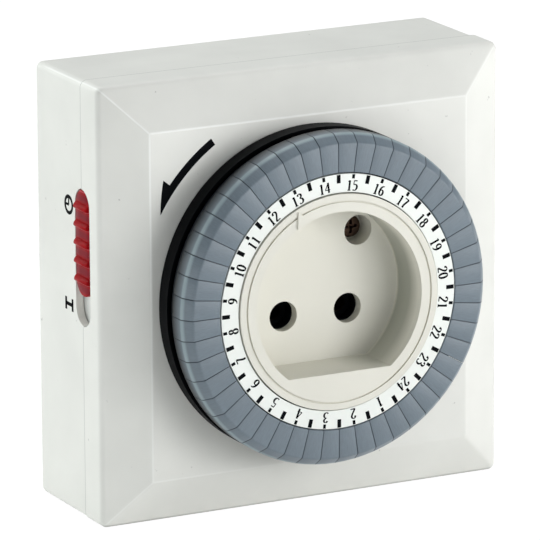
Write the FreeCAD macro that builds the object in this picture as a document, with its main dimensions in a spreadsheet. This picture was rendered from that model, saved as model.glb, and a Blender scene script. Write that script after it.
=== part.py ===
"""Plug-in timer switch: a square wall timer with a 24-hour tappet dial round its socket.

The front faces -Y, +X is to the right and +Z is up. The origin lies on the bottom face,
under the dial's axis, half way through the case. Depths are measured from the flat front
face of the case, towards the wall, and hours run clockwise round the dial.
"""
import FreeCAD, Part
import math
import os
import re

import Sketcher
from FreeCAD import Rotation, Vector

# Driving dimensions, in millimetres and degrees
SIZES = {
    # case
    "case_width": 118.0,
    "case_height": 118.6,
    "case_depth": 44.7,
    "seam_depth": 15.6,
    "bevel_depth": 5.7,
    "front_margin_across": 3.9,
    "front_margin_up": 4.2,
    "wall": 2.5,
    "edge_radius": 2.0,
    "shell_step": 0.4,
    # clearances
    "running_clearance": 0.08,
    "free_clearance": 0.35,
    "sliding_clearance": 0.3,
    # dial
    "bearing_radius": 29.0,
    "opening_radius": 42.7,
    "dial_front": 16.0,
    "number_ring_thickness": 1.2,
    "number_ring_width": 4.9,
    "rim_radius": 44.6,
    "rim_wall": 0.7,
    "rim_front": 5.0,
    "web_thickness": 2.0,
    "drum_end": 4.5,
    # tappets, two to each hour
    "tappet_radius": 44.5,
    "tappet_bevel": 3.2,
    "tappet_head_end": 9.0,
    "tappet_gap_angle": 0.35,
    "tappet_travel": 3.0,
    "tail_width": 2.4,
    "tail_start": 2.0,
    "tail_margin": 1.2,
    "tail_end": 3.5,
    "first_hour_angle": 7.5,
    # socket
    "insert_front": 16.5,
    "insert_end": 8.0,
    "recess_radius": 24.3,
    "recess_flat": 19.1,
    "recess_floor": 2.6,
    "floor_thickness": 2.5,
    "insert_groove_radius": 27.3,
    "insert_groove_size": 0.5,
    "pin_spacing": 19.0,
    "pin_drop": 5.9,
    "pin_radius": 2.4,
    "pin_length": 19.0,
    "pin_neck_step": 0.2,
    "pin_neck_length": 0.4,
    "pin_seat": 4.0,
    "pin_collar": 1.6,
    "pin_collar_thickness": 1.5,
    "pin_carrier_margin": 7.0,
    "pin_hole_radius": 4.05,
    "contact_fit": 0.05,
    "contact_setback": 4.0,
    "sleeve_wall": 0.8,
    "sleeve_length": 13.3,
    "sleeve_boss_wall": 2.4,
    "screw_across": 12.7,
    "screw_up": 14.9,
    "pointer_angle": -25.5,
    "pointer_height": 0.5,
    # rear plug
    "boss_height": 13.0,
    "boss_clearance": 0.4,
    # gear train
    "gear_module": 0.8,
    "dial_teeth": 112,
    "small_teeth": 20,
    "large_teeth": 30,
    "pinion_teeth": 12,
    "gear_width": 3.4,
    "dial_gear_start": 2.9,
    "wheel_start": 11.0,
    "arbor_radius": 1.5,
    # chassis and motor
    "plate_start": 20.0,
    "plate_thickness": 2.0,
    "plate_margin": 4.5,
    "window_margin": 1.5,
    "motor_side_gap": 1.2,
    "motor_rear_gap": 3.2,
    "screw_inset": 10.0,
    "tower_radius": 3.5,
    "screw_radius": 1.5,
    "screw_head_radius": 3.0,
    "screw_head_height": 2.4,
    "screw_sink": 7.0,
    "screw_grip": 8.5,
    "insert_screw_start": 1.6,
    "insert_screw_length": 18.4,
    # side switch
    "slot_length": 37.1,
    "slot_width": 9.6,
    "slot_centre": 11.8,
    "knob_length": 28.7,
    "knob_proud": 0.5,
    "rib_height": 0.9,
    "rib_pitch": 4.9,
    "rib_count": 5,
    "slide_base_thickness": 1.4,
    "slide_base_reach": 11.5,
    "slide_gap": 0.3,
    # feeler and switch
    "feeler_up": -20.0,
    "feeler_width": 5.0,
    "feeler_pivot_across": -47.0,
    "feeler_pivot_depth": 15.5,
    "feeler_pin_radius": 1.0,
    "feeler_eye_wall": 1.4,
    "feeler_thickness": 2.4,
    "feeler_ear": 1.6,
    "plunger_offset": 11.0,
    "plunger_radius": 1.6,
    "switch_length": 20.0,
    "switch_width": 6.4,
    "switch_height": 10.2,
    "strip_thickness": 1.0,
    "strip_width": 5.0,
    "strip_run_width": 2.5,
}

HOURS = 24
TAPPETS_PER_HOUR = 2
STEP_ANGLE = 360.0 / (HOURS * TAPPETS_PER_HOUR)

doc = FreeCAD.newDocument("timer")
sheet = doc.addObject("Spreadsheet::Sheet", "Dims")
for row, (alias, number) in enumerate(SIZES.items(), start=1):
    sheet.set(f"A{row}", alias.replace("_", " "))
    sheet.set(f"B{row}", str(number))
    sheet.setAlias(f"B{row}", alias)
doc.recompute()

nodes = []


def from_sheet(text):
    """Turn the plain size names in a formula into references to the sheet."""
    return re.sub(r"[a-z][a-z_]*", lambda word: "Dims." + word[0] if word[0] in SIZES else word[0], text)


def size(name):
    """Read one size from the sheet."""
    return float(sheet.get(name))


def bind(item, **formulas):
    """Bind properties of an object to formulas; two underscores stand for a dot."""
    for name, formula in formulas.items():
        item.setExpression(name.replace("__", "."), from_sheet(str(formula)))


def place(item, across="0", depth="0", up="0", rotation=None):
    """Put an object at a point given across the case, behind its front face and from the dial's axis."""
    if rotation is not None:
        item.Placement.Rotation = rotation
    bind(
        item,
        Placement__Base__x=across,
        Placement__Base__y=f"{depth} - case_depth / 2",
        Placement__Base__z=f"{up} + case_height / 2",
    )


def node(name, item):
    """Name a finished piece."""
    item.Label = name
    nodes.append(item)
    return item


TO_REAR = Rotation(Vector(1, 0, 0), -90)


def rod(name, radius, start, end, across="0", up="0"):
    """A round bar along the depth."""
    item = doc.addObject("Part::Cylinder", name)
    bind(item, Radius=radius, Height=f"({end}) - ({start})")
    place(item, across, start, up, TO_REAR)
    return item


def block(name, left, right, start, end, bottom, top):
    """A rectangular block between six planes."""
    item = doc.addObject("Part::Box", name)
    bind(
        item,
        Length=f"({right}) - ({left})",
        Width=f"({end}) - ({start})",
        Height=f"({top}) - ({bottom})",
    )
    place(item, left, start, bottom)
    return item


def joined(name, *items):
    item = doc.addObject("Part::MultiFuse", name)
    item.Shapes = list(items)
    item.Refine = True
    return item


def less(name, base, *tools):
    item = doc.addObject("Part::Cut", name)
    item.Base = base
    item.Tool = tools[0] if len(tools) == 1 else joined(name + "_tools", *tools)
    item.Refine = True
    return item


def tube(name, outer, inner, start, end, across="0", up="0"):
    return less(
        name,
        rod(name + "_outside", outer, start, end, across, up),
        rod(name + "_bore", inner, f"({start}) - 1", f"({end}) + 1", across, up),
    )


# Sketched bodies

def origin_plane(body, role):
    for feature in body.Origin.OriginFeatures:
        if feature.Role == role:
            return feature
    raise RuntimeError("no plane " + role)


def face_sketch(body, name, depth):
    """A sketch across the case, at a depth behind its front face."""
    sketch = body.newObject("Sketcher::SketchObject", name)
    sketch.AttachmentSupport = (origin_plane(body, "XZ_Plane"), [""])
    sketch.MapMode = "FlatFace"
    bind(sketch, AttachmentOffset__Base__z=f"case_depth / 2 - ({depth})")
    return sketch


def section_sketch(body, name):
    """A sketch in the plane X = 0, with the depth along its first axis and Z along its second."""
    sketch = body.newObject("Sketcher::SketchObject", name)
    sketch.AttachmentSupport = (origin_plane(body, "YZ_Plane"), [""])
    sketch.MapMode = "FlatFace"
    return sketch


def driven(sketch, constraint, formula):
    """Add one constraint and bind its value to a formula."""
    index = sketch.addConstraint(constraint)
    sketch.setExpression(f"Constraints[{index}]", from_sheet(formula))


def rectangle(sketch, left, right, bottom, top):
    """A rectangle; left and bottom are distances before the origin, right and top after it."""
    corners = [Vector(-9, 5, 0), Vector(9, 5, 0), Vector(9, 99, 0), Vector(-9, 99, 0)]
    lines = [
        sketch.addGeometry(Part.LineSegment(corners[i], corners[(i + 1) % 4]), False)
        for i in range(4)
    ]
    for i in range(4):
        sketch.addConstraint(Sketcher.Constraint("Coincident", lines[i], 2, lines[(i + 1) % 4], 1))
        direction = "Horizontal" if i % 2 == 0 else "Vertical"
        sketch.addConstraint(Sketcher.Constraint(direction, lines[i]))
    driven(sketch, Sketcher.Constraint("DistanceX", lines[0], 1, -1, 1, 9.0), left)
    driven(sketch, Sketcher.Constraint("DistanceX", -1, 1, lines[0], 2, 9.0), right)
    driven(sketch, Sketcher.Constraint("DistanceY", -1, 1, lines[0], 1, 5.0), bottom)
    driven(sketch, Sketcher.Constraint("DistanceY", -1, 1, lines[2], 1, 99.0), top)


def circle(sketch, radius, across="0", up="0"):
    """A circle whose centre is given from the dial's axis."""
    sign = -1 if across.startswith("-") else 1
    centre = Vector(sign * 9, 60, 0)
    index = sketch.addGeometry(Part.Circle(centre, Vector(0, 0, 1), 5), False)
    if across == "0":
        sketch.addConstraint(Sketcher.Constraint("PointOnObject", index, 3, -2))
    elif sign > 0:
        driven(sketch, Sketcher.Constraint("DistanceX", -1, 1, index, 3, 9.0), across)
    else:
        driven(sketch, Sketcher.Constraint("DistanceX", index, 3, -1, 1, 9.0), across[1:])
    driven(sketch, Sketcher.Constraint("DistanceY", -1, 1, index, 3, 60.0), f"case_height / 2 + ({up})")
    driven(sketch, Sketcher.Constraint("Radius", index, 5.0), radius)
    return index


def flat_circle(sketch, radius, drop):
    """A circle round the dial's axis, cut off by a level line at a drop below the axis."""
    arc = sketch.addGeometry(
        Part.ArcOfCircle(Part.Circle(Vector(0, 60, 0), Vector(0, 0, 1), 24), math.radians(-52), math.radians(232)),
        False,
    )
    line = sketch.addGeometry(Part.LineSegment(Vector(-14.8, 41, 0), Vector(14.8, 41, 0)), False)
    sketch.addConstraint(Sketcher.Constraint("Coincident", arc, 2, line, 1))
    sketch.addConstraint(Sketcher.Constraint("Coincident", line, 2, arc, 1))
    sketch.addConstraint(Sketcher.Constraint("Horizontal", line))
    sketch.addConstraint(Sketcher.Constraint("PointOnObject", arc, 3, -2))
    driven(sketch, Sketcher.Constraint("DistanceY", -1, 1, arc, 3, 60.0), "case_height / 2")
    driven(sketch, Sketcher.Constraint("Radius", arc, 24.0), radius)
    driven(sketch, Sketcher.Constraint("DistanceY", line, 1, arc, 3, 19.0), drop)


def pad(body, sketch, length, reverse=False):
    """Extrude towards the front, or towards the rear when reversed."""
    item = body.newObject("PartDesign::Pad", sketch.Name + "_pad")
    item.Profile = sketch
    item.Reversed = reverse
    bind(item, Length=length)
    return item


def pocket(body, sketch, length, reverse=False):
    """Cut towards the rear, or towards the front when reversed."""
    item = body.newObject("PartDesign::Pocket", sketch.Name + "_pocket")
    item.Profile = sketch
    item.Reversed = reverse
    bind(item, Length=length)
    return item


def loft(body, kind, first, second):
    item = body.newObject("PartDesign::" + kind, first.Name + "_loft")
    item.Profile = first
    item.Sections = [second]
    item.Ruled = True
    return item


# Formulas used by more than one piece
PIN_LEFT = "-pin_spacing / 2"
PIN_RIGHT = "pin_spacing / 2"
PIN_UP = "-pin_drop"
PLATE_END = "(plate_start + plate_thickness)"
REAR_INSIDE = "(case_depth - wall)"
SLEEVE_START = "(floor_thickness - recess_floor + contact_setback)"
SLEEVE_END = f"({SLEEVE_START} + sleeve_length)"
BOSS_END = "(case_depth + boss_height)"
PIN_BASE = "(case_depth - wall - pin_seat)"
PIN_NECK = "(pin_radius - pin_neck_step)"
SLEEVE_BORE = "(pin_radius + contact_fit)"
HUB_RADIUS = "(bearing_radius + free_clearance + number_ring_width + 0.2)"
FRONT_ACROSS = "(opening_radius + front_margin_across)"
FRONT_UP = "(opening_radius + front_margin_up)"
BEVEL_ACROSS = f"(case_width / 2 - {FRONT_ACROSS})"
BEVEL_UP = f"(case_height / 2 - {FRONT_UP})"
SLOPE = f"(bevel_depth / {BEVEL_ACROSS})"
SLOPE_ACROSS = f"({BEVEL_ACROSS} + wall * tan(atan({SLOPE}) / 2))"
SLOPE_UP = f"({BEVEL_UP} + wall * tan(atan({SLOPE}) / 2))"
SLOPE_END = f"(bevel_depth + wall / cos(atan({SLOPE})) - wall * {SLOPE})"
KNOB_TOP = "(slot_centre + slot_length / 2 - sliding_clearance)"
KNOB_BOTTOM = "(slot_centre + slot_length / 2 - sliding_clearance - knob_length)"
TRAIN_CENTRE = "((dial_teeth + small_teeth) * gear_module / 2 * 0.70710678)"
MOTOR_ACROSS = f"({TRAIN_CENTRE} - (large_teeth + pinion_teeth) * gear_module / 2)"
WHEEL_END = "(wheel_start + gear_width)"
DIAL_GEAR_END = "(dial_gear_start + gear_width)"
TAIL_INNER = f"({HUB_RADIUS} + tail_start)"
TAIL_OUTER = "(opening_radius - tail_margin)"
DRUM_RADIUS = "(opening_radius - sliding_clearance - 0.1)"
MOTOR_RADIUS = f"(case_height / 2 - wall - motor_side_gap - {TRAIN_CENTRE})"
MOTOR_END = "(case_depth - wall - motor_rear_gap)"
PLATE_ACROSS = "(case_width / 2 - wall - plate_margin)"
PLATE_UP = "(case_height / 2 - wall - plate_margin)"
SCREW_ACROSS = "(case_width / 2 - screw_inset)"
SCREW_UP = "(case_height / 2 - screw_inset)"
PLUNGER_ACROSS = "(feeler_pivot_across + plunger_offset)"
SWITCH_RIGHT = f"({PLUNGER_ACROSS} + switch_length / 2)"
RUN_BOTTOM = "(feeler_up - strip_run_width / 2)"
RUN_TOP = "(feeler_up + strip_run_width / 2)"
CORNERS = [(-1, -1), (1, -1), (1, 1), (-1, 1)]


def signed(formula, sign):
    return formula if sign > 0 else "-" + formula


def outer_edges(shape, test):
    """Names of the edges whose middle point passes a test."""
    names = []
    for index, edge in enumerate(shape.Edges, start=1):
        middle = edge.valueAt((edge.FirstParameter + edge.LastParameter) / 2)
        if test(middle, edge):
            names.append(f"Edge{index}")
    return names


def rounded(body, base, name, test, radius):
    """Fillet the edges of the last feature that pass a test."""
    doc.recompute()
    item = body.newObject("PartDesign::Fillet", name)
    item.Base = (base, outer_edges(base.Shape, test))
    bind(item, Radius=radius)
    return item


def side_slot_cut(name, widen="0"):
    """The long slot of the side switch, through the left wall."""
    half = f"(slot_width / 2 + {widen})"
    reach = "(slot_length / 2 - slot_width / 2)"
    body = block(
        name + "_middle",
        "-case_width / 2 - 3",
        "-case_width / 2 + wall + 1.5",
        f"seam_depth - {half}",
        f"seam_depth + {half}",
        f"slot_centre - {reach}",
        f"slot_centre + {reach}",
    )
    ends = []
    for label, sign in (("top", "+"), ("bottom", "-")):
        end = doc.addObject("Part::Cylinder", f"{name}_{label}")
        bind(end, Radius=half, Height="wall + 4.5")
        place(end, "-case_width / 2 - 3", "seam_depth", f"slot_centre {sign} {reach}", Rotation(Vector(0, 1, 0), 90))
        ends.append(end)
    return joined(name, body, *ends)


# Front cover: a bevelled shell with the dial's opening and the screw posts

def make_front_cover():
    body = doc.addObject("PartDesign::Body", "front_cover_body")
    skirt = face_sketch(body, "cover_skirt", "seam_depth")
    rectangle(skirt, "case_width / 2", "case_width / 2", "0", "case_height")
    pad(body, skirt, "seam_depth - bevel_depth")
    bevel_rear = face_sketch(body, "cover_bevel_rear", "bevel_depth")
    rectangle(bevel_rear, "case_width / 2", "case_width / 2", "0", "case_height")
    bevel_front = face_sketch(body, "cover_bevel_front", "0")
    rectangle(bevel_front, FRONT_ACROSS, FRONT_ACROSS, BEVEL_UP, f"case_height - {BEVEL_UP}")
    bevel = loft(body, "AdditiveLoft", bevel_rear, bevel_front)
    seam_y = size("seam_depth") - size("case_depth") / 2

    def is_outer_edge(middle, edge):
        return middle.y < seam_y - 0.01

    rounded(body, bevel, "cover_edges", is_outer_edge, "edge_radius")
    inside_rear = face_sketch(body, "cover_inside_rear", "seam_depth")
    rectangle(inside_rear, "case_width / 2 - wall", "case_width / 2 - wall", "wall", "case_height - wall")
    pocket(body, inside_rear, f"seam_depth - {SLOPE_END}", True)
    slope_rear = face_sketch(body, "cover_slope_rear", SLOPE_END)
    rectangle(slope_rear, "case_width / 2 - wall", "case_width / 2 - wall", "wall", "case_height - wall")
    slope_front = face_sketch(body, "cover_slope_front", "wall")
    half = f"case_width / 2 - {SLOPE_ACROSS}"
    rectangle(slope_front, half, half, SLOPE_UP, f"case_height - {SLOPE_UP}")
    loft(body, "SubtractiveLoft", slope_rear, slope_front)
    opening = face_sketch(body, "cover_opening", "wall + 1")
    circle(opening, "opening_radius")
    pocket(body, opening, "wall + 2", True)
    posts = []
    for index, (right, up) in enumerate(CORNERS):
        posts.append(rod(
            f"cover_post_{index}", "tower_radius", "wall + 1.6", "plate_start", signed(SCREW_ACROSS, right), signed(SCREW_UP, up)
        ))
    shell = joined("cover_with_posts", body, *posts)
    pilots = [
        rod(f"cover_pilot_{i}", "screw_radius", "plate_start - screw_grip - 0.5", "plate_start + 1",
            signed(SCREW_ACROSS, right), signed(SCREW_UP, up))
        for i, (right, up) in enumerate(CORNERS)
    ]
    arbor_seat = rod("cover_arbor_seat", "arbor_radius", "wall - 1.2", "wall + 1", TRAIN_CENTRE, TRAIN_CENTRE)
    return node("front_cover", less("front_cover", shell, arbor_seat, *pilots, side_slot_cut("cover_slot")))


# Rear housing: a box with towers for the screws and the round plug boss

def make_rear_housing():
    body = doc.addObject("PartDesign::Body", "rear_housing_body")
    front = face_sketch(body, "housing_front", "seam_depth")
    half = "case_width / 2 - shell_step"
    rectangle(front, half, half, "0", "case_height - shell_step")
    box = pad(body, front, "case_depth - seam_depth", True)
    seam_y = size("seam_depth") - size("case_depth") / 2

    def is_outer_edge(middle, edge):
        return middle.y > seam_y + 0.01

    rounded(body, box, "housing_edges", is_outer_edge, "edge_radius")
    boss = face_sketch(body, "housing_boss", "case_depth - 0.5")
    flat_circle(boss, "recess_radius - boss_clearance", "recess_flat - boss_clearance")
    pad(body, boss, "boss_height + 0.5", True)
    inside_front = face_sketch(body, "housing_inside_front", "seam_depth")
    half = "case_width / 2 - wall"
    rectangle(inside_front, half, half, "wall", "case_height - wall")
    pocket(body, inside_front, "case_depth - seam_depth - wall", False)
    hollow = face_sketch(body, "housing_boss_hollow", "case_depth - wall - 1")
    flat_circle(hollow, "recess_radius - boss_clearance - wall", "recess_flat - boss_clearance - wall")
    pocket(body, hollow, "boss_height + 1", False)
    towers = []
    holes = []
    for index, (right, up) in enumerate(CORNERS):
        across = signed(SCREW_ACROSS, right)
        level = signed(SCREW_UP, up)
        towers.append(rod(
            f"housing_tower_{index}", "tower_radius + 0.6", PLATE_END, "case_depth - wall / 2", across, level
        ))
        holes.append(rod(f"housing_screw_way_{index}", "screw_radius", "plate_start - 1", "case_depth + 1", across, level))
        holes.append(rod(f"housing_head_way_{index}", "screw_head_radius + 0.2", "case_depth - screw_sink",
                         "case_depth + 1",
                         across, level))
    tower = rod("housing_insert_tower", "tower_radius", "6.3", "case_depth - wall / 2", "screw_across", "screw_up")
    holes.append(rod("housing_insert_pilot", "screw_radius", "5", "insert_screw_start + insert_screw_length + 2",
                     "screw_across", "screw_up"))
    for label, across in (("left", PIN_LEFT), ("right", PIN_RIGHT)):
        holes.append(rod(f"housing_pin_hole_{label}", PIN_NECK, "case_depth", f"{BOSS_END} + 1", across, PIN_UP))
    shell = joined("housing_with_towers", body, tower, *towers)
    return node("rear_housing", less("rear_housing", shell, *holes, side_slot_cut("housing_slot")))


# Socket insert: the cup with the flat-sided recess, its two pin holes and the screw hole

def make_socket_insert():
    body = doc.addObject("PartDesign::Body", "socket_insert_body")
    outside = face_sketch(body, "insert_outside", "insert_end")
    circle(outside, "bearing_radius")
    pad(body, outside, "insert_end + insert_front")
    recess = face_sketch(body, "insert_recess", "-insert_front - 1")
    flat_circle(recess, "recess_radius", "recess_flat")
    pocket(body, recess, "insert_front + 1 - recess_floor", False)
    behind = face_sketch(body, "insert_behind", "insert_end + 1")
    circle(behind, "bearing_radius - wall")
    pocket(body, behind, "insert_end + 1 + recess_floor - floor_thickness", True)
    groove = face_sketch(body, "insert_groove", "-insert_front - 1")
    circle(groove, "insert_groove_radius")
    circle(groove, "insert_groove_radius - insert_groove_size")
    pocket(body, groove, "insert_groove_size + 1", False)
    bosses = face_sketch(body, "insert_bosses", SLEEVE_END)
    sleeve_outside = f"{SLEEVE_BORE} + sleeve_wall"
    circle(bosses, f"{sleeve_outside} + sleeve_boss_wall", PIN_LEFT, PIN_UP)
    circle(bosses, f"{sleeve_outside} + sleeve_boss_wall", PIN_RIGHT, PIN_UP)
    pad(body, bosses, f"{SLEEVE_END} + recess_floor - floor_thickness / 2")
    seat = face_sketch(body, "insert_screw_seat", "6")
    circle(seat, "pin_hole_radius + 1.2", "screw_across", "screw_up")
    pad(body, seat, "6 + recess_floor - floor_thickness / 2")
    sleeves = face_sketch(body, "insert_sleeve_ways", f"{SLEEVE_END} + 1")
    circle(sleeves, sleeve_outside, PIN_LEFT, PIN_UP)
    circle(sleeves, sleeve_outside, PIN_RIGHT, PIN_UP)
    pocket(body, sleeves, "sleeve_length + 1", True)
    holes = face_sketch(body, "insert_pin_holes", "-recess_floor - 1")
    circle(holes, "pin_hole_radius", PIN_LEFT, PIN_UP)
    circle(holes, "pin_hole_radius", PIN_RIGHT, PIN_UP)
    pocket(body, holes, "floor_thickness + 1 + contact_setback", False)
    screw_way = face_sketch(body, "insert_screw_way", "-recess_floor - 1")
    circle(screw_way, "pin_hole_radius", "screw_across", "screw_up")
    pocket(body, screw_way, "recess_floor + 1 + 4", False)
    shank_way = face_sketch(body, "insert_shank_way", "3")
    circle(shank_way, "screw_radius + 0.2", "screw_across", "screw_up")
    body.Tip = pocket(body, shank_way, "4", False)
    return node("socket_insert", joined("socket_insert", body, make_pointer()))


def make_pointer():
    """The raised triangle that points at the time, as a wedge on the insert's rim."""
    pointer = doc.addObject("Part::Feature", "insert_pointer")
    tip = size("bearing_radius") - 0.6
    base = size("recess_radius") + 0.05
    half = 2.1
    points = [Vector(-half, 0, base), Vector(half, 0, base), Vector(0, 0, tip)]
    face = Part.Face(Part.makePolygon(points + points[:1]))
    height = size("pointer_height")
    pointer.Shape = face.extrude(Vector(0, -height - 0.2, 0))
    pointer.Placement.Rotation = Rotation(Vector(0, 1, 0), size("pointer_angle"))
    place(pointer, "0", "0.2 - insert_front", "0")
    return pointer


# Dial: carrier, gear ring, number ring and tappets

def make_dial_carrier():
    body = doc.addObject("PartDesign::Body", "dial_carrier_body")
    outline = section_sketch(body, "carrier_outline")
    bore = "bearing_radius + free_clearance"
    bearing = "bearing_radius + running_clearance"
    hub_front = "number_ring_thickness - dial_front"
    profile = [
        (hub_front, bore), (hub_front, HUB_RADIUS), ("-web_thickness - 0.4", HUB_RADIUS),
        ("-web_thickness - 0.4", "rim_radius - rim_wall"), ("-rim_front", "rim_radius - rim_wall"),
        ("-rim_front", "rim_radius"), ("-0.4", "rim_radius"), ("-0.4", DRUM_RADIUS),
        ("drum_end", DRUM_RADIUS), ("drum_end", bearing), ("0.5", bearing), ("0.5", bore),
    ]
    start = size("case_height") / 2
    half_depth = size("case_depth") / 2
    points = []
    for depth, radius in profile:
        points.append(Vector(formula_value(depth) - half_depth, start + formula_value(radius), 0))
    count = len(points)
    for i in range(count):
        sketch_line = Part.LineSegment(points[i], points[(i + 1) % count])
        outline.addGeometry(sketch_line, False)
    for i in range(count):
        outline.addConstraint(Sketcher.Constraint("Coincident", i, 2, (i + 1) % count, 1))
    for i, (depth, radius) in enumerate(profile):
        driven(outline, Sketcher.Constraint("DistanceX", i, 1, -1, 1, -points[i].x), f"case_depth / 2 - ({depth})")
        driven(outline, Sketcher.Constraint("DistanceY", -1, 1, i, 1, points[i].y), f"case_height / 2 + {radius}")
    axis = outline.addGeometry(Part.LineSegment(Vector(-30, start, 0), Vector(30, start, 0)), True)
    outline.addConstraint(Sketcher.Constraint("Horizontal", axis))
    driven(outline, Sketcher.Constraint("DistanceY", -1, 1, axis, 1, start), "case_height / 2")
    turned = body.newObject("PartDesign::Revolution", "carrier_turned")
    turned.Profile = outline
    turned.ReferenceAxis = (outline, ["Axis0"])
    turned.Angle = 360
    doc.recompute()
    slots = doc.addObject("Part::Feature", "carrier_slots")
    tools = []
    width = size("tail_width") + 0.5
    inner = formula_value(TAIL_INNER) - 0.25
    outer = formula_value(TAIL_OUTER) + 0.25
    for index in range(HOURS * TAPPETS_PER_HOUR):
        tool = Part.makeBox(width, 12, outer - inner, Vector(-width / 2, -5, inner))
        tool.rotate(Vector(0, 0, 0), Vector(0, 1, 0), (index + 0.5) * STEP_ANGLE)
        tools.append(tool)
    slots.Shape = Part.makeCompound(tools)
    place(slots, "0", "0", "0")
    return node("dial_carrier", less("dial_carrier", body, slots))


def formula_value(text):
    """The value of a formula on the sheet's sizes."""
    return float(doc.getObject("Dims").evalExpression(from_sheet(text)))


def gear_wire(teeth, module, phase):
    """A gear outline of straight-flanked teeth, in the plane of the dial, round the origin."""
    pitch = teeth * module / 2
    root = pitch - 1.15 * module
    tip = pitch + 0.8 * module
    tooth = 2 * math.pi / teeth
    profile = [(root, -0.30), (tip, -0.13), (tip, 0.13), (root, 0.30)]
    points = []
    for index in range(teeth):
        for radius, share in profile:
            angle = (index + phase + share) * tooth
            points.append(Vector(radius * math.sin(angle), 0, radius * math.cos(angle)))
    return Part.makePolygon(points + points[:1])


def gear(name, teeth, phase, start, width, bore, across="0", up="0"):
    """A gear between two depths, with a round bore."""
    item = doc.addObject("Part::Feature", name)
    outline = Part.Face(gear_wire(int(size(teeth)), size("gear_module"), phase))
    disc = outline.extrude(Vector(0, size(width), 0))
    hole = Part.makeCylinder(bore, size(width) + 2, Vector(0, -1, 0), Vector(0, 1, 0))
    item.Shape = disc.cut(hole)
    place(item, across, start, up)
    return item


def make_tappet_profile():
    """Half section of one tappet: radius and depth of its corners."""
    top = -size("dial_front")
    outer = size("tappet_radius")
    bevel = size("tappet_bevel")
    inner = formula_value(HUB_RADIUS) + size("free_clearance")
    body = size("rim_radius") - size("rim_wall") - size("free_clearance")
    head_end = -size("tappet_head_end")
    body_end = -size("web_thickness") - 0.4 - size("tappet_travel") - 0.2
    return [
        (inner, top), (outer - bevel, top), (outer, top + bevel), (outer, head_end),
        (body, head_end), (body, body_end), (inner, body_end),
    ]


def make_tappet(index):
    """One tappet: a wedge-shaped head, and a flat tail through the carrier."""
    gap = size("tappet_gap_angle")
    points = [Vector(0, depth, radius) for radius, depth in make_tappet_profile()]
    face = Part.Face(Part.makePolygon(points + points[:1]))
    face.rotate(Vector(0, 0, 0), Vector(0, 1, 0), index * STEP_ANGLE + gap / 2)
    head = face.revolve(Vector(0, 0, 0), Vector(0, 1, 0), STEP_ANGLE - gap)
    width = size("tail_width")
    inner = formula_value(TAIL_INNER)
    body_end = make_tappet_profile()[-1][1]
    length = size("tail_end") - body_end
    tail = Part.makeBox(width, length + 0.5, formula_value(TAIL_OUTER) - inner,
                        Vector(-width / 2, body_end - 0.5, inner))
    tail.rotate(Vector(0, 0, 0), Vector(0, 1, 0), (index + 0.5) * STEP_ANGLE)
    return head.fuse(tail).removeSplitter()


def make_tappets():
    """The two tappets of each hour; the hour's mark is on the earlier edge of its first one."""
    first = size("first_hour_angle") / STEP_ANGLE
    for hour in range(1, HOURS + 1):
        item = doc.addObject("Part::Feature", f"tappets_hour_{hour:02d}")
        start = first + (hour - 15) * TAPPETS_PER_HOUR
        item.Shape = Part.makeCompound([make_tappet(start + k) for k in range(TAPPETS_PER_HOUR)])
        place(item, "0", "0", "0")
        node(f"tappets_hour_{hour:02d}", item)


def make_dial():
    make_dial_carrier()
    ring_inner = "bearing_radius + free_clearance"
    node("number_ring", tube(
        "number_ring", f"{ring_inner} + number_ring_width", ring_inner, "-dial_front",
        "number_ring_thickness - dial_front",
    ))
    dial_bore = formula_value(DRUM_RADIUS)
    node("dial_gear", gear("dial_gear", "dial_teeth", 0.0, "dial_gear_start", "gear_width", dial_bore))
    make_tappets()


# Gear train and motor on the chassis plate

def mesh_phase(teeth, towards_degrees, tooth_there):
    """Phase that puts a tooth (0) or a gap (0.5) of a gear at an angle clockwise from the top."""
    return towards_degrees / 360.0 * teeth - math.floor(towards_degrees / 360.0 * teeth) + tooth_there


def make_gear_train():
    small = int(size("small_teeth"))
    large = int(size("large_teeth"))
    pinion = int(size("pinion_teeth"))
    dial = int(size("dial_teeth"))
    bore = size("arbor_radius") + size("running_clearance")
    dial_there = mesh_phase(dial, 45.0, 0.0)
    small_phase = mesh_phase(small, 225.0, 0.5) + dial_there
    large_phase = mesh_phase(large, 270.0, 0.0)
    pinion_phase = mesh_phase(pinion, 90.0, 0.5)
    small_gear = gear("train_small", "small_teeth", small_phase, "dial_gear_start", "gear_width", bore,
                      TRAIN_CENTRE, TRAIN_CENTRE)
    large_gear = gear("train_large", "large_teeth", large_phase, "wheel_start", "gear_width", bore,
                      TRAIN_CENTRE, TRAIN_CENTRE)
    hub = tube("train_hub", "arbor_radius + 2.2", "arbor_radius + running_clearance", DIAL_GEAR_END,
               "plate_start - sliding_clearance", TRAIN_CENTRE, TRAIN_CENTRE)
    node("reduction_gear", joined("reduction_gear", small_gear, large_gear, hub))
    node("reduction_arbor", rod("reduction_arbor", "arbor_radius", "wall - 1.2", PLATE_END, TRAIN_CENTRE,
                                TRAIN_CENTRE))
    node("motor_pinion", gear("motor_pinion", "pinion_teeth", pinion_phase, "wheel_start", "gear_width",
                              size("arbor_radius"), MOTOR_ACROSS, TRAIN_CENTRE))
    node("motor_shaft", rod("motor_shaft", "arbor_radius", "wheel_start - 0.6", f"{PLATE_END} + 4",
                            MOTOR_ACROSS, TRAIN_CENTRE))
    node("motor_bush", tube("motor_bush", "arbor_radius + 3", "arbor_radius + running_clearance",
                            f"{WHEEL_END} + 1.6", PLATE_END, MOTOR_ACROSS, TRAIN_CENTRE))
    can = rod("motor_body", MOTOR_RADIUS, PLATE_END, MOTOR_END, MOTOR_ACROSS, TRAIN_CENTRE)
    bore_way = rod("motor_bore", "arbor_radius + running_clearance", f"{PLATE_END} - 1", f"{PLATE_END} + 4.3",
                   MOTOR_ACROSS, TRAIN_CENTRE)
    node("motor_can", less("motor_can", can, bore_way))


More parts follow.
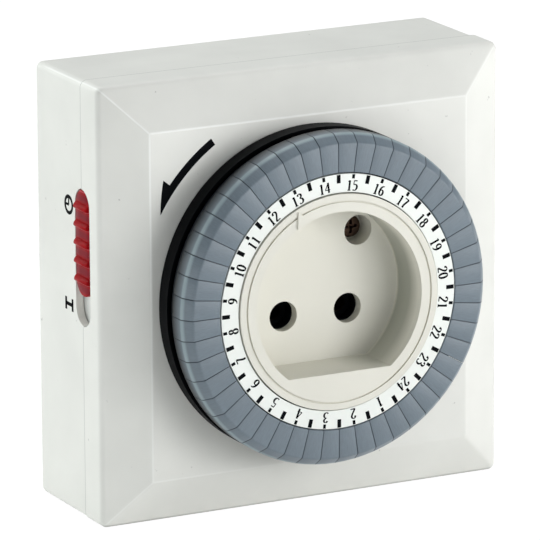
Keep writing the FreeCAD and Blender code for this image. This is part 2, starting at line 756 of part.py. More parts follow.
def make_chassis_plate():
    plate = block("plate_blank", f"-{PLATE_ACROSS}", PLATE_ACROSS, "plate_start", PLATE_END, f"-{PLATE_UP}", PLATE_UP)
    tools = []
    for index, (right, up) in enumerate(CORNERS):
        tools.append(rod(f"plate_screw_way_{index}", "screw_radius + 0.2", "plate_start - 1", f"{PLATE_END} + 1",
                         signed(SCREW_ACROSS, right), signed(SCREW_UP, up)))
    tools.append(rod("plate_tower_way", "tower_radius + 0.4", "plate_start - 1", f"{PLATE_END} + 1",
                     "screw_across", "screw_up"))
    tools.append(rod("plate_bush_way", "arbor_radius + 3", "plate_start - 1", f"{PLATE_END} + 1",
                     MOTOR_ACROSS, TRAIN_CENTRE))
    tools.append(rod("plate_arbor_way", "arbor_radius", "plate_start - 1", f"{PLATE_END} + 1",
                     TRAIN_CENTRE, TRAIN_CENTRE))
    tools.append(block(
        "plate_window", f"{SWITCH_RIGHT} - window_margin", f"{PIN_RIGHT} + strip_width / 2 + window_margin",
        "plate_start - 1", f"{PLATE_END} + 1", f"{RUN_BOTTOM} - window_margin",
        f"{PIN_UP} + strip_width / 2 + window_margin",
    ))
    tools.append(rod("plate_plunger_way", "plunger_radius + 0.4", "plate_start - 1", f"{PLATE_END} + 1", PLUNGER_ACROSS, "feeler_up"))
    ears = []
    ear_half = "(feeler_width / 2 + sliding_clearance)"
    for label, low, high in (
        ("upper", f"feeler_up + {ear_half}", f"feeler_up + {ear_half} + feeler_ear"),
        ("lower", f"feeler_up - {ear_half} - feeler_ear", f"feeler_up - {ear_half}"),
    ):
        ears.append(block(f"plate_ear_{label}", "feeler_pivot_across - 2.5", "feeler_pivot_across + 2.5",
                          "feeler_pivot_depth - 2.5", "plate_start", low, high))
    pin_way = upright_rod("plate_pin_way", "feeler_pin_radius", f"feeler_up - {ear_half} - 3",
                          f"feeler_up + {ear_half} + 3")
    node("chassis_plate", less("chassis_plate", joined("plate_with_ears", plate, *ears), pin_way, *tools))


def upright_rod(name, radius, bottom, top):
    """A round bar along Z at the feeler's pivot."""
    item = doc.addObject("Part::Cylinder", name)
    bind(item, Radius=radius, Height=f"({top}) - ({bottom})")
    place(item, "feeler_pivot_across", "feeler_pivot_depth", bottom)
    return item


def make_feeler_and_switch():
    half = "feeler_width / 2"
    low = f"feeler_up - {half}"
    high = f"feeler_up + {half}"
    eye = upright_rod("feeler_eye", "feeler_pin_radius + feeler_eye_wall", low, high)
    nose_depth = "(tail_end + tappet_travel + free_clearance)"
    arm_rear = "(feeler_pivot_depth + feeler_thickness / 2)"
    arm = block("feeler_arm", "feeler_pivot_across", f"{PLUNGER_ACROSS} + feeler_thickness",
                "feeler_pivot_depth - feeler_thickness / 2", arm_rear, low, high)
    nose = block("feeler_nose", f"{PLUNGER_ACROSS} + 0.5", f"{PLUNGER_ACROSS} + 0.5 + feeler_thickness * 1.25",
                 nose_depth, arm_rear, low, high)
    pin_way = upright_rod("feeler_pin_way", "feeler_pin_radius + running_clearance", f"{low} - 1", f"{high} + 1")
    node("feeler_lever", less("feeler_lever", joined("feeler_blank", eye, arm, nose), pin_way))
    ear = "(feeler_width / 2 + sliding_clearance + feeler_ear)"
    node("feeler_pivot", upright_rod("feeler_pivot", "feeler_pin_radius", f"feeler_up - {ear}", f"feeler_up + {ear}"))
    plunger_front = f"({arm_rear} + sliding_clearance)"
    node("switch_plunger", rod("switch_plunger", "plunger_radius", plunger_front, f"{PLATE_END} + 3.5", PLUNGER_ACROSS,
                               "feeler_up"))
    case = block("switch_blank", f"{PLUNGER_ACROSS} - switch_length / 2", SWITCH_RIGHT,
                 PLATE_END, f"{PLATE_END} + switch_height", "feeler_up - switch_width / 2",
                 "feeler_up + switch_width / 2")
    way = rod("switch_plunger_way", "plunger_radius + running_clearance", f"{PLATE_END} - 1", f"{PLATE_END} + 6",
              PLUNGER_ACROSS, "feeler_up")
    node("micro_switch", less("micro_switch", case, way))


# Contacts, conductors and the rear pins

def make_contacts():
    for label, across in (("left", PIN_LEFT), ("right", PIN_RIGHT)):
        node(f"contact_sleeve_{label}", tube(
            f"contact_sleeve_{label}", f"{SLEEVE_BORE} + sleeve_wall", SLEEVE_BORE, SLEEVE_START, SLEEVE_END,
            across, PIN_UP,
        ))
        neck_end = f"{BOSS_END} + pin_neck_length"
        neck = rod(f"plug_neck_{label}", PIN_NECK, PIN_BASE, neck_end, across, PIN_UP)
        shank = rod(f"plug_shank_{label}", "pin_radius", neck_end, f"{BOSS_END} + pin_length - pin_radius * 0.6",
                    across, PIN_UP)
        tip = doc.addObject("Part::Cone", f"plug_tip_{label}")
        bind(tip, Radius1="pin_radius", Radius2="pin_radius * 0.45", Height="pin_radius * 0.6")
        place(tip, across, f"{BOSS_END} + pin_length - pin_radius * 0.6", PIN_UP, TO_REAR)
        collar = rod(f"plug_collar_{label}", "pin_radius + pin_collar", PIN_BASE, f"{PIN_BASE} + pin_collar_thickness",
                     across, PIN_UP)
        node(f"plug_pin_{label}", joined(f"plug_pin_{label}", neck, shank, tip, collar))
    half = "strip_width / 2"
    node("neutral_strip", block("neutral_strip", f"{PIN_LEFT} - strip_thickness / 2",
                                f"{PIN_LEFT} + strip_thickness / 2", SLEEVE_END, PIN_BASE,
                                f"{PIN_UP} - {half}", f"{PIN_UP} + {half}"))
    for name, start in (("live_strip_out", SLEEVE_END), ("live_strip_in", f"({PIN_BASE} - strip_thickness)")):
        drop = block(f"{name}_drop", f"{PIN_RIGHT} - {half}", f"{PIN_RIGHT} + {half}", start,
                     f"{start} + strip_thickness", RUN_BOTTOM, f"{PIN_UP} + {half}")
        run = block(f"{name}_run", SWITCH_RIGHT, f"{PIN_RIGHT} + {half}", start, f"{start} + strip_thickness",
                    RUN_BOTTOM, RUN_TOP)
        reach = f"{PLATE_END} + switch_height * {0.3 if name == 'live_strip_out' else 0.8}"
        leg_ends = (start, reach) if name == "live_strip_out" else (reach, f"{start} + strip_thickness")
        leg = block(f"{name}_leg", SWITCH_RIGHT, f"{SWITCH_RIGHT} + strip_thickness", leg_ends[0], leg_ends[1],
                    RUN_BOTTOM, RUN_TOP)
        node(name, joined(name, drop, run, leg))
    left = f"{PIN_LEFT} - pin_carrier_margin"
    right = f"{PIN_RIGHT} + pin_carrier_margin"
    carrier = block("pin_carrier_blank", left, right, f"{PIN_BASE} + pin_collar_thickness", REAR_INSIDE,
                    f"{PIN_UP} - pin_carrier_margin", f"{PIN_UP} + pin_carrier_margin")
    holes = [
        rod(f"pin_carrier_hole_{label}", PIN_NECK, PIN_BASE, BOSS_END, across, PIN_UP)
        for label, across in (("left", PIN_LEFT), ("right", PIN_RIGHT))
    ]
    foot = block("pin_carrier_foot", left, right, REAR_INSIDE, f"{BOSS_END} - wall - 1",
                 f"{PIN_UP} - pin_radius * 2", f"{PIN_UP} + pin_radius * 2")
    node("pin_carrier", less("pin_carrier", joined("pin_carrier_body", carrier, foot), *holes))


# Screws

def screw(name, head_front, head_end, shank_end, across, up):
    """A headed screw along the depth; its head lies between the first two depths."""
    head = rod(name + "_head", "screw_head_radius", head_front, head_end, across, up)
    low, high = sorted((head_end, shank_end), key=formula_value)
    shank = rod(name + "_shank", "screw_radius", low, high, across, up)
    return joined(name, head, shank)


def make_screws():
    node("insert_screw", screw(
        "insert_screw", "insert_screw_start", "insert_screw_start + screw_head_height",
        "insert_screw_start + insert_screw_length", "screw_across", "screw_up",
    ))
    screws = []
    for index, (right, up) in enumerate(CORNERS):
        across = signed(SCREW_ACROSS, right)
        level = signed(SCREW_UP, up)
        head = rod(f"case_screw_head_{index}", "screw_head_radius", "case_depth - screw_sink",
                   "case_depth - screw_sink + screw_head_height", across, level)
        shank = rod(f"case_screw_shank_{index}", "screw_radius", "plate_start - screw_grip",
                    "case_depth - screw_sink", across, level)
        screws.append(joined(f"case_screw_{index}", head, shank))
    group = doc.addObject("Part::Compound", "case_screws")
    group.Links = screws
    node("case_screws", group)


# Side switch

def make_side_switch():
    outside = "-case_width / 2"
    inside = "(-case_width / 2 + wall)"
    base_front = f"({inside} + slide_gap)"
    base_end = f"({base_front} + slide_base_thickness)"
    half = "(slot_width / 2 - sliding_clearance)"
    middle = block("knob_middle", f"{outside} - knob_proud", base_front, f"seam_depth - {half}",
                   f"seam_depth + {half}", f"{KNOB_BOTTOM} + {half}", f"{KNOB_TOP} - {half}")
    ends = []
    for label, centre in (("top", f"{KNOB_TOP} - {half}"), ("bottom", f"{KNOB_BOTTOM} + {half}")):
        end = doc.addObject("Part::Cylinder", f"knob_end_{label}")
        bind(end, Radius=half, Height="wall + slide_gap + knob_proud")
        place(end, f"{outside} - knob_proud", "seam_depth", centre, Rotation(Vector(0, 1, 0), 90))
        ends.append(end)
    ribs = []
    for index in range(int(size("rib_count"))):
        rib = doc.addObject("Part::Cylinder", f"knob_rib_{index}")
        bind(rib, Radius="rib_height", Height=f"2 * {half} - 0.8")
        place(rib, f"{outside} - knob_proud", f"seam_depth - {half} + 0.4",
              f"{KNOB_TOP} - 4 - {index} * rib_pitch", TO_REAR)
        ribs.append(rib)
    node("slide_knob", joined("slide_knob", middle, *ends, *ribs))
    base_half = "(slot_width / 2 + 1.4)"
    node("slide_base", block("slide_base", base_front, base_end, f"seam_depth - {base_half}",
                             f"seam_depth + {base_half}", f"{KNOB_BOTTOM} - slide_base_reach", f"{KNOB_TOP} + 1"))
    node("slide_guide", block("slide_guide", f"({base_end} + slide_gap)", f"-{PLATE_ACROSS}",
                              "seam_depth - slot_width * 0.3", PLATE_END, f"{KNOB_BOTTOM} - slot_width * 0.8",
                              f"{KNOB_TOP} - slot_width * 0.4"))


def build():
    make_front_cover()
    make_rear_housing()
    make_socket_insert()
    make_dial()
    make_gear_train()
    make_chassis_plate()
    make_feeler_and_switch()
    make_contacts()
    make_screws()
    make_side_switch()
    doc.recompute()


def check_and_export():
    """Stop on any failed object, then write each piece to its own file."""
    for item in doc.Objects:
        if "Invalid" in item.State or "Error" in item.State:
            raise RuntimeError(f"{item.Name} failed: {item.State}")
    os.makedirs("parts", exist_ok=True)
    for item in nodes:
        shape = item.Shape
        if shape.isNull() or not shape.isValid():
            raise RuntimeError(f"{item.Label} has no valid shape")
        shape.exportStep(f"parts/{item.Label}.step")
        print(item.Label, len(shape.Solids), round(shape.Volume, 1))
    print("pieces", len(nodes))


build()
check_and_export()
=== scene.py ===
"""Looks of a plug-in timer switch: moulded plastics, printed numbers and symbols, tappets and studio.

The frame gives the pieces in metres, +Z up, with the dial facing -Y. Angles round the dial
run clockwise from the top, as its hours do.
"""
import math

import bmesh
import bpy
import numpy as np
from mathutils import Matrix, Vector


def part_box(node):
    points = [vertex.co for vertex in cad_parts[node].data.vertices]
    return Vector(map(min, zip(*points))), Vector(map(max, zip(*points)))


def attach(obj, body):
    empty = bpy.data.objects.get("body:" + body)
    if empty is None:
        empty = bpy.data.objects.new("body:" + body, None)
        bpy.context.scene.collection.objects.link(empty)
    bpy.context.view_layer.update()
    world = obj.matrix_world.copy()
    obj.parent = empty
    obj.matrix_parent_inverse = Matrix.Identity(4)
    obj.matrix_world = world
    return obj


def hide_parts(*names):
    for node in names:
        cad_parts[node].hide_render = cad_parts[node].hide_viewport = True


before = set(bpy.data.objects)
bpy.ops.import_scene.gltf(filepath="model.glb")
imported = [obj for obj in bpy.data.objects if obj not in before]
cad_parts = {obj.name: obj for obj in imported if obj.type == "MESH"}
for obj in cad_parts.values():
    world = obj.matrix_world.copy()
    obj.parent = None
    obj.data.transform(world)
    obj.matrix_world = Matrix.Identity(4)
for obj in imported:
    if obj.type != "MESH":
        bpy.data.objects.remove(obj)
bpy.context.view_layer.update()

bl_info = {
    "name": "Plug-in timer switch",
    "version": (1, 0, 0),
    "blender": (4, 5, 0),
    "location": "View3D > Sidebar > Timer",
    "description": "Dresses a 24-hour tappet timer with its finishes, prints and studio",
    "category": "Object",
}

MM = 0.001

# Places read from the frame
COVER_LOW, COVER_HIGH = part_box("front_cover")
RING_LOW, RING_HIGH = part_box("number_ring")
HOUSING_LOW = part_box("rear_housing")[0]
FRONT_Y = COVER_LOW.y
SIDE_X = HOUSING_LOW.x
AXIS_Z = (RING_LOW.z + RING_HIGH.z) / 2
DIAL_FRONT = FRONT_Y - RING_LOW.y
CASE_MIDDLE = (COVER_LOW.z + COVER_HIGH.z) / 2
RING_RADIUS = (RING_HIGH.x - RING_LOW.x) / 2
KNOB_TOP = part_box("slide_knob")[1].z

# Case: half the width and height of its flat front, the seam of its shells, and the insert's recess, where
# painted shade falls
FLAT_HALF = (46.6 * MM, 46.9 * MM)
SEAM_Y = FRONT_Y + 15.6 * MM
RECESS_SHADE = (FRONT_Y - 14.5 * MM, FRONT_Y - 2.7 * MM)

# Dial: angles from one hour or tappet to the next, and the hour whose mark is next after the top
HOURS = 24
HOUR_ANGLE = math.radians(360 / HOURS)
TAPPET_ANGLE = HOUR_ANGLE / 2
FIRST_HOUR = 15
FIRST_ANGLE = math.radians(7.5)

# Knob: its ribs, and where in their pitch the painted highlight and the painted shade fall
RIB_PITCH = 4.9 * MM
RIB_FIRST = 4.8 * MM
RIB_LOWER = 0.62 * MM
RIBS_BELOW_TOP = (RIB_FIRST + RIB_LOWER) / RIB_PITCH
SHADE_BELOW_HIGHLIGHT = 0.35
HIGHLIGHT_SHARE = -RIBS_BELOW_TOP % 1.0
SHADE_SHARE = (HIGHLIGHT_SHARE - SHADE_BELOW_HIGHLIGHT) % 1.0


def hour_angle(hour):
    """Angle of an hour's mark, clockwise from the top."""
    return FIRST_ANGLE + (hour - FIRST_HOUR) * HOUR_ANGLE


# Shader arithmetic

class Value:
    """One output of a shader node, which takes part in Python arithmetic."""

    def __init__(self, tree, socket):
        self.tree = tree
        self.socket = socket

    def math(self, operation, *others):
        """Add a Math node that works on this value and the others."""
        return self.tree.node("ShaderNodeMath", {"operation": operation}, [self, *others])

    def __add__(self, other):
        return self.math("ADD", other)

    __radd__ = __add__

    def __mul__(self, other):
        return self.math("MULTIPLY", other)

    __rmul__ = __mul__

    def __sub__(self, other):
        return self.math("SUBTRACT", other)

    def __rsub__(self, other):
        return self.tree.node("ShaderNodeMath", {"operation": "SUBTRACT"}, [other, self])

    def __truediv__(self, other):
        return self.math("DIVIDE", other)


class Tree:
    """The node tree of one material."""

    def __init__(self, name):
        self.material = bpy.data.materials.new(name)
        self.material.use_nodes = True
        self.nodes = self.material.node_tree.nodes
        self.links = self.material.node_tree.links
        self.nodes.clear()
        self.output = self.nodes.new("ShaderNodeOutputMaterial")

    def node(self, kind, settings, inputs, output=0):
        """Add a node: its settings come first, then the values or links of its sockets."""
        item = self.nodes.new(kind)
        for name, value in settings.items():
            if name == "stops":
                self.set_stops(item.color_ramp, value)
            else:
                setattr(item, name, value)
        pairs = inputs.items() if isinstance(inputs, dict) else enumerate(inputs)
        for socket, value in pairs:
            if isinstance(value, Value):
                self.links.new(value.socket, item.inputs[socket])
            else:
                item.inputs[socket].default_value = value
        return Value(self, item.outputs[output])

    @staticmethod
    def set_stops(ramp, stops):
        """Give a ramp its stops, each a position and a grey."""
        while len(ramp.elements) < len(stops):
            ramp.elements.new(1.0)
        for element, (position, grey) in zip(ramp.elements, stops):
            element.position = position
            element.color = (grey, grey, grey, 1.0)

    def place(self):
        """Object coordinates, which are metres in the frame."""
        return self.node("ShaderNodeTexCoord", {}, [], "Object")

    def place_parts(self):
        """How far across, how deep and how high the place is."""
        parts = self.node("ShaderNodeSeparateXYZ", {}, [self.place()]).socket.node
        return [Value(self, output) for output in parts.outputs]

    def noise(self, scale, detail=2.0, rough=0.5, at=None):
        """Noise at a scale per metre, over the place or over other coordinates."""
        sockets = {"Vector": at or self.place(), "Scale": scale, "Detail": detail, "Roughness": rough}
        return self.node("ShaderNodeTexNoise", {}, sockets)

    def ramp(self, value, *stops):
        """The grey that a ramp of stops gives for a value; each stop is a position and a grey."""
        return self.node("ShaderNodeValToRGB", {"stops": stops}, [value])

    def line(self, distance, near, far):
        """One up to a near distance, and nothing from a far one, both in millimetres."""
        return self.ramp(distance * 1000.0, (near, 1.0), (far, 0.0))

    def blend(self, amount, first, second):
        """Mix two colours."""
        return self.node(
            "ShaderNodeMix",
            {"data_type": "RGBA"},
            {0: amount, 6: first, 7: second},
            2,
        )

    def bump(self, height, distance):
        """A normal from a height between nothing and one, which stands for a distance in metres."""
        sockets = {"Height": height, "Distance": distance, "Strength": 1.0}
        return self.node("ShaderNodeBump", {}, sockets)

    def finish(self, **sockets):
        """Feed the surface shader; two underscores in a name stand for a space."""
        named = {name.replace("__", " "): value for name, value in sockets.items()}
        shader = self.node("ShaderNodeBsdfPrincipled", {}, named)
        self.links.new(shader.socket, self.output.inputs["Surface"])
        return self.material


def linear(colour):
    """A colour given as it looks on screen, from 0 to 255, in the renderer's own terms."""
    parts = [c / 255.0 for c in colour]
    out = [p / 12.92 if p <= 0.04045 else ((p + 0.055) / 1.055) ** 2.4 for p in parts]
    return (*out, 1.0)


def shade(colour, amount):
    """The colour made darker or lighter by a share."""
    return (*(min(1.0, c * amount) for c in colour[:3]), 1.0)


# Finishes

# Noise scales, per metre
CLOUD_SCALE = 38.0
DUST_SCALE = 420.0
SHEEN_SCALE = 160.0

# Heights of fine relief and size of the moulded grain, in metres
GRAIN = 0.00022
GRAIN_RELIEF = 0.000012
POLISHED_RELIEF = 0.000006
STREAK_RELIEF = 0.00003
SCRATCH_RELIEF = 0.00002

# Colours of painted highlights and painted shade, and of the case's seam and the tappets' gaps
PAINTED_EDGE_HIGHLIGHT = linear((252, 253, 249))
SEAM_LINE = linear((110, 116, 110))
PAINTED_BASE_SHADE = linear((118, 118, 110))
PAINTED_SHADE_IN_RECESS = linear((104, 112, 98))
PAINTED_TAPPET_HIGHLIGHT = linear((158, 176, 180))
PAINTED_TAPPET_ROOT_SHADE = linear((12, 16, 21))
TAPPET_CREASE = linear((40, 50, 60))
PAINTED_RIB_SHADE = linear((100, 18, 36))
PAINTED_RIB_HIGHLIGHT = linear((196, 96, 104))

# Where a tappet's painted edge highlight runs and its painted root shade starts
HIGHLIGHT_RADIUS = 44.3 * MM
HIGHLIGHT_Y = FRONT_Y - 13.2 * MM
ROOT_SHADE_Y = FRONT_Y - 12.9 * MM


def cloudy(tree, colour, scale, darker, lighter):
    """The colour in a cloudy tone, between a darker and a lighter share of it."""
    tone = tree.ramp(tree.noise(scale, 3.0, 0.55), (0.3, 0.0), (0.7, 1.0))
    return tree.blend(tone, shade(colour, darker), shade(colour, lighter))


def dusty(tree, base, speck, start, amount):
    """The base with specks of a colour, where a fine noise rises past a start."""
    dust = tree.ramp(tree.noise(DUST_SCALE, 2.0, 0.7), (start, 0.0), (start + 0.06, 1.0))
    return tree.blend(dust * amount, base, speck)


def uneven(tree, roughness, scale=SHEEN_SCALE, spread=0.12):
    """A roughness that wanders by half a spread to both sides."""
    return tree.noise(scale, 2.0, 0.5) * spread + (roughness - spread / 2)


def case_lines(tree, base, flat_half):
    """The case's colour with painted edge highlights at its front, its seam and painted shade at its base.

    Past the flat front, the bevels meet where the distances to its two sides are equal.
    The painted highlight fades from the upper left to the lower right, as the light falls.
    """
    across, depth, height = tree.place_parts()
    up = height - CASE_MIDDLE
    past_side = across.math("ABSOLUTE") - flat_half[0]
    past_top = up.math("ABSOLUTE") - flat_half[1]
    past = past_side.math("MAXIMUM", past_top)
    behind = (depth - FRONT_Y) * 10.0
    flat_edge = tree.line(past.math("ABSOLUTE"), 0.12, 0.34)
    flat_edge = flat_edge * tree.ramp(behind, (0.005, 1.0), (0.015, 0.0))
    corner = tree.line((past_side - past_top).math("ABSOLUTE"), 0.15, 0.45)
    corner = corner * tree.ramp(past * 1000.0, (0.0, 0.0), (0.2, 1.0))
    corner = corner * tree.ramp(behind, (0.36, 1.0), (0.41, 0.0))
    upper_left = tree.ramp((up - across) * 5.0 + 0.5, (0.2, 0.0), (0.9, 1.0))
    # painted highlight along the front edges and bevel corners, brightest at the upper left
    painted_highlight = flat_edge.math("MAXIMUM", corner) * upper_left
    base = tree.blend(painted_highlight * 0.8, base, PAINTED_EDGE_HIGHLIGHT)
    seam = tree.line((depth - SEAM_Y).math("ABSOLUTE"), 0.16, 0.32)
    base = tree.blend(seam * 0.5, base, SEAM_LINE)
    # painted shade along the bottom edge, where the case meets the floor
    base_shade = tree.line(height, 0.3, 0.95)
    return tree.blend(base_shade * 0.6, base, PAINTED_BASE_SHADE)


def moulded_plastic(name, colour, roughness, mottle=0.05, specks=0.0, gloss=0.5, edges=None):
    """Moulded plastic: spark-eroded grain and faint cloudy tone.

    Where asked it has dark dust specks, or the case's seam, painted edge highlights and painted base shade
    round a flat front of a half size.
    """
    tree = Tree(name)
    base = cloudy(tree, colour, CLOUD_SCALE, 1.0 - mottle, 1.0 + mottle * 0.6)
    if specks:
        base = dusty(tree, base, shade(colour, 0.35), 0.74, specks)
    if edges:
        base = case_lines(tree, base, edges)
    rough = uneven(tree, roughness)
    normal = tree.bump(tree.noise(1.0 / GRAIN, 3.0, 0.6), GRAIN_RELIEF)
    return tree.finish(Base__Color=base, Roughness=rough, Normal=normal, Specular__IOR__Level=gloss)


def insert_plastic(name, colour):
    """The socket's polished plastic, with painted shade deep in its recess towards the right."""
    tree = Tree(name)
    across, depth, _ = tree.place_parts()
    base = cloudy(tree, colour, CLOUD_SCALE, 0.96, 1.03)
    base = dusty(tree, base, shade(colour, 0.4), 0.75, 0.35)
    start, floor = RECESS_SHADE
    # painted shade on the recess walls, deepest towards the right and fading at the floor
    deep = tree.ramp((depth - start) / (floor - start), (0.0, 0.0), (0.4, 1.0), (0.9, 1.0), (1.0, 0.0))
    right = tree.ramp((across - 4.0 * MM) * 50.0, (0.0, 0.0), (1.0, 1.0))
    base = tree.blend(deep * right * 0.62, base, PAINTED_SHADE_IN_RECESS)
    rough = uneven(tree, 0.36)
    normal = tree.bump(tree.noise(2500.0, 3.0, 0.6), POLISHED_RELIEF)
    return tree.finish(Base__Color=base, Roughness=rough, Normal=normal, IOR=1.46)


def tappet_plastic(name, colour):
    """Tappet plastic: flow lines outwards from the dial's axis, a painted edge highlight, dark gaps and
    painted shade at the roots.
    """
    tree = Tree(name)
    across, depth, height = tree.place_parts()
    up = height - AXIS_Z
    angle = across.math("ARCTAN2", up)
    radius = (across * across + up * up).math("SQRT")
    polar = tree.node("ShaderNodeCombineXYZ", {}, [angle * 2.4, radius * 6.0, depth * 6.0])
    streaks = tree.noise(90.0, 3.0, 0.6, at=polar)
    cloud = tree.noise(55.0, 2.0, 0.5)
    tone = tree.ramp(streaks * 0.65 + cloud * 0.35, (0.32, 0.0), (0.68, 1.0))
    base = tree.blend(tone, shade(colour, 0.90), shade(colour, 1.10))
    # painted highlight along the rounded edge between slope and side
    behind_edge = depth - HIGHLIGHT_Y
    past_edge = (radius - HIGHLIGHT_RADIUS).math("POWER", 2.0)
    edge_highlight = tree.line((past_edge + behind_edge * behind_edge).math("SQRT"), 0.35, 0.95)
    base = tree.blend(edge_highlight * 0.6, base, PAINTED_TAPPET_HIGHLIGHT)
    # painted shade: the tappets' sides darken towards the black carrier behind them
    root_shade = tree.ramp((depth - ROOT_SHADE_Y) * 240.0, (0.0, 0.0), (1.0, 1.0))
    base = tree.blend(root_shade * 0.96, base, PAINTED_TAPPET_ROOT_SHADE)
    turn = ((angle / TAPPET_ANGLE + 0.5).math("FRACT") - 0.5).math("ABSOLUTE")
    crease = tree.ramp(turn, (0.012, 1.0), (0.034, 0.0))
    base = tree.blend(crease * 0.85, base, TAPPET_CREASE)
    rough = streaks * 0.12 + 0.36
    relief = streaks * 0.7 + tree.noise(5200.0, 2.0, 0.6) * 0.3
    normal = tree.bump(relief, STREAK_RELIEF)
    return tree.finish(Base__Color=base, Roughness=rough, Normal=normal, IOR=1.47)


def knob_plastic(name, colour):
    """Red plastic with a painted highlight along the lower edge of each rib, and painted shade between
    them.
    """
    tree = Tree(name)
    height = tree.place_parts()[2]
    turn = ((height - KNOB_TOP) / RIB_PITCH).math("FRACT")
    # painted highlight under each rib and painted shade between the ribs
    rib_highlight = tree.ramp((turn - HIGHLIGHT_SHARE).math("ABSOLUTE") * 10.0, (0.22, 1.0), (0.42, 0.0))
    between = tree.ramp((turn - SHADE_SHARE).math("ABSOLUTE"), (0.10, 1.0), (0.30, 0.0))
    base = cloudy(tree, colour, 300.0, 0.88, 1.12)
    base = tree.blend(between * 0.6, base, PAINTED_RIB_SHADE)
    base = tree.blend(rib_highlight * 0.7, base, PAINTED_RIB_HIGHLIGHT)
    rough = uneven(tree, 0.36)
    normal = tree.bump(tree.noise(4500.0, 3.0, 0.6), POLISHED_RELIEF)
    return tree.finish(Base__Color=base, Roughness=rough, Normal=normal, Specular__IOR__Level=0.05)


def printed_ink(name, colour):
    """Hot-stamped black print with slightly broken density."""
    tree = Tree(name)
    cover = tree.ramp(tree.noise(2600.0, 2.0, 0.6), (0.30, 0.0), (0.45, 1.0))
    base = tree.blend(cover, shade(colour, 1.6), colour)
    rough = uneven(tree, 0.65, 900.0, 0.2)
    normal = tree.bump(tree.noise(5200.0, 2.0, 0.5), POLISHED_RELIEF)
    return tree.finish(Base__Color=base, Roughness=rough, Normal=normal, Specular__IOR__Level=0.04)


def plated_metal(name, colour, roughness):
    """Plated or turned metal with fine drawn scratches along the depth."""
    tree = Tree(name)
    stretched = tree.node("ShaderNodeMapping", {}, {"Vector": tree.place(), "Scale": (1.0, 0.06, 1.0)})
    lines = tree.noise(3600.0, 3.0, 0.6, at=stretched)
    stain = tree.ramp(tree.noise(210.0, 3.0, 0.6), (0.35, 0.0), (0.7, 1.0))
    base = tree.blend(stain, shade(colour, 0.80), colour)
    rough = lines * 0.16 + (roughness - 0.08)
    normal = tree.bump(lines, SCRATCH_RELIEF)
    return tree.finish(Base__Color=base, Metallic=1.0, Roughness=rough, Normal=normal)


# Mesh building

def mesh_piece(name, points, faces, material, body):
    """A new piece from an array of points and a list of faces, riding on a body."""
    mesh = bpy.data.meshes.new(name)
    mesh.from_pydata(np.asarray(points, float).reshape(-1, 3).tolist(), [], faces)
    mesh.update()
    mesh.materials.append(material)
    mesh.polygons.foreach_set("use_smooth", [True] * len(mesh.polygons))
    piece = bpy.data.objects.new(name, mesh)
    bpy.context.scene.collection.objects.link(piece)
    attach(piece, body)
    return piece


def grid_faces(rows, columns, start=0, close_columns=False):
    """Quads of a grid of points, row by row, wrapped round where asked."""
    last_column = columns if close_columns else columns - 1
    row, column = np.meshgrid(np.arange(rows - 1), np.arange(last_column), indexing="ij")
    next_row = row + 1
    next_column = (column + 1) % columns
    quads = np.stack(
        [
            row * columns + column,
            next_row * columns + column,
            next_row * columns + next_column,
            row * columns + next_column,
        ],
        axis=-1,
    )
    return (quads.reshape(-1, 4) + start).tolist()


def lofted(solids):
    """Points and faces of closed solids: each is a stack of closed loops, flat at its first and last."""
    faces = []
    start = 0
    for loops in solids:
        rows, columns = loops.shape[:2]
        last = start + (rows - 1) * columns
        faces += grid_faces(rows, columns, start, close_columns=True)
        faces.append(tuple(range(start, start + columns)))
        faces.append(tuple(reversed(range(last, last + columns))))
        start += rows * columns
    return np.concatenate([loops.reshape(-1, 3) for loops in solids]), faces


def tubes(solids):
    """Points and faces of solids whose last loop joins their first, such as rings."""
    faces = []
    start = 0
    for loops in solids:
        rows, columns = loops.shape[:2]
        closed = np.arange(rows * columns).reshape(rows, columns)
        for row in range(rows):
            first, second = closed[row], closed[(row + 1) % rows]
            quads = np.stack([first, second, np.roll(second, -1), np.roll(first, -1)], axis=1) + start
            faces += quads.tolist()
        start += rows * columns
    return np.concatenate([loops.reshape(-1, 3) for loops in solids]), faces


def solid_piece(name, solids, material, body, faced=lofted):
    """A piece of solids, smooth but for its sharp edges, whose faces a function works out."""
    points, faces = faced(solids)
    piece = mesh_piece(name, points, faces, material, body)
    shade_by_angle(piece)
    return piece


def shade_by_angle(piece, degrees=32.0):
    """Outward normals, and sharp edges wherever two faces meet at more than an angle."""
    build = bmesh.new()
    build.from_mesh(piece.data)
    bmesh.ops.recalc_face_normals(build, faces=build.faces)
    limit = math.radians(degrees)
    for edge in build.edges:
        edge.smooth = len(edge.link_faces) == 2 and edge.calc_face_angle(0.0) < limit
    build.to_mesh(piece.data)
    build.free()


TURNED_COLUMNS = 96


def turned(rings, x, z, start, along):
    """Loops round an axis along Y: each ring is a radius, which may vary round it, and a distance."""
    angle = np.linspace(0, 2 * np.pi, TURNED_COLUMNS, endpoint=False)
    loops = []
    for radius, distance in rings:
        across = x + radius * np.cos(angle)
        up = z + radius * np.sin(angle)
        loops.append(np.column_stack([across, np.full(TURNED_COLUMNS, start + along * distance), up]))
    return np.stack(loops)


def print_solids(strips, placed):
    """Thin prisms from flat strips of left and right edge points, put in place by a function.

    The function takes flat points and a height, and gives points of the frame.
    """
    thickness = settings().print_thickness
    solids = []
    for strip in strips:
        left, right = strip[:, 0], strip[:, 1]
        rails = [placed(left, thickness), placed(right, thickness), placed(right, 0.0), placed(left, 0.0)]
        solids.append(np.stack(rails, axis=1))
    return solids


# Numerals, drawn with a broad pen: thick uprights, thin level strokes

PEN_THICK = 0.17
PEN_THIN = 0.075
STROKE_WIDTHS = {"thick": PEN_THICK, "thin": PEN_THIN, "bar": 0.10}
DIGIT_ADVANCE = 0.60
DIGIT_WIDTH = 1.10
OVAL_POINTS = 25


def oval(across, up, half_width, half_height):
    """Points round an oval: the sine and cosine of a turn, each times a half size."""
    turn = np.linspace(0.0, 2 * np.pi, OVAL_POINTS)
    return np.column_stack([across + half_width * np.sin(turn), up + half_height * np.cos(turn)])


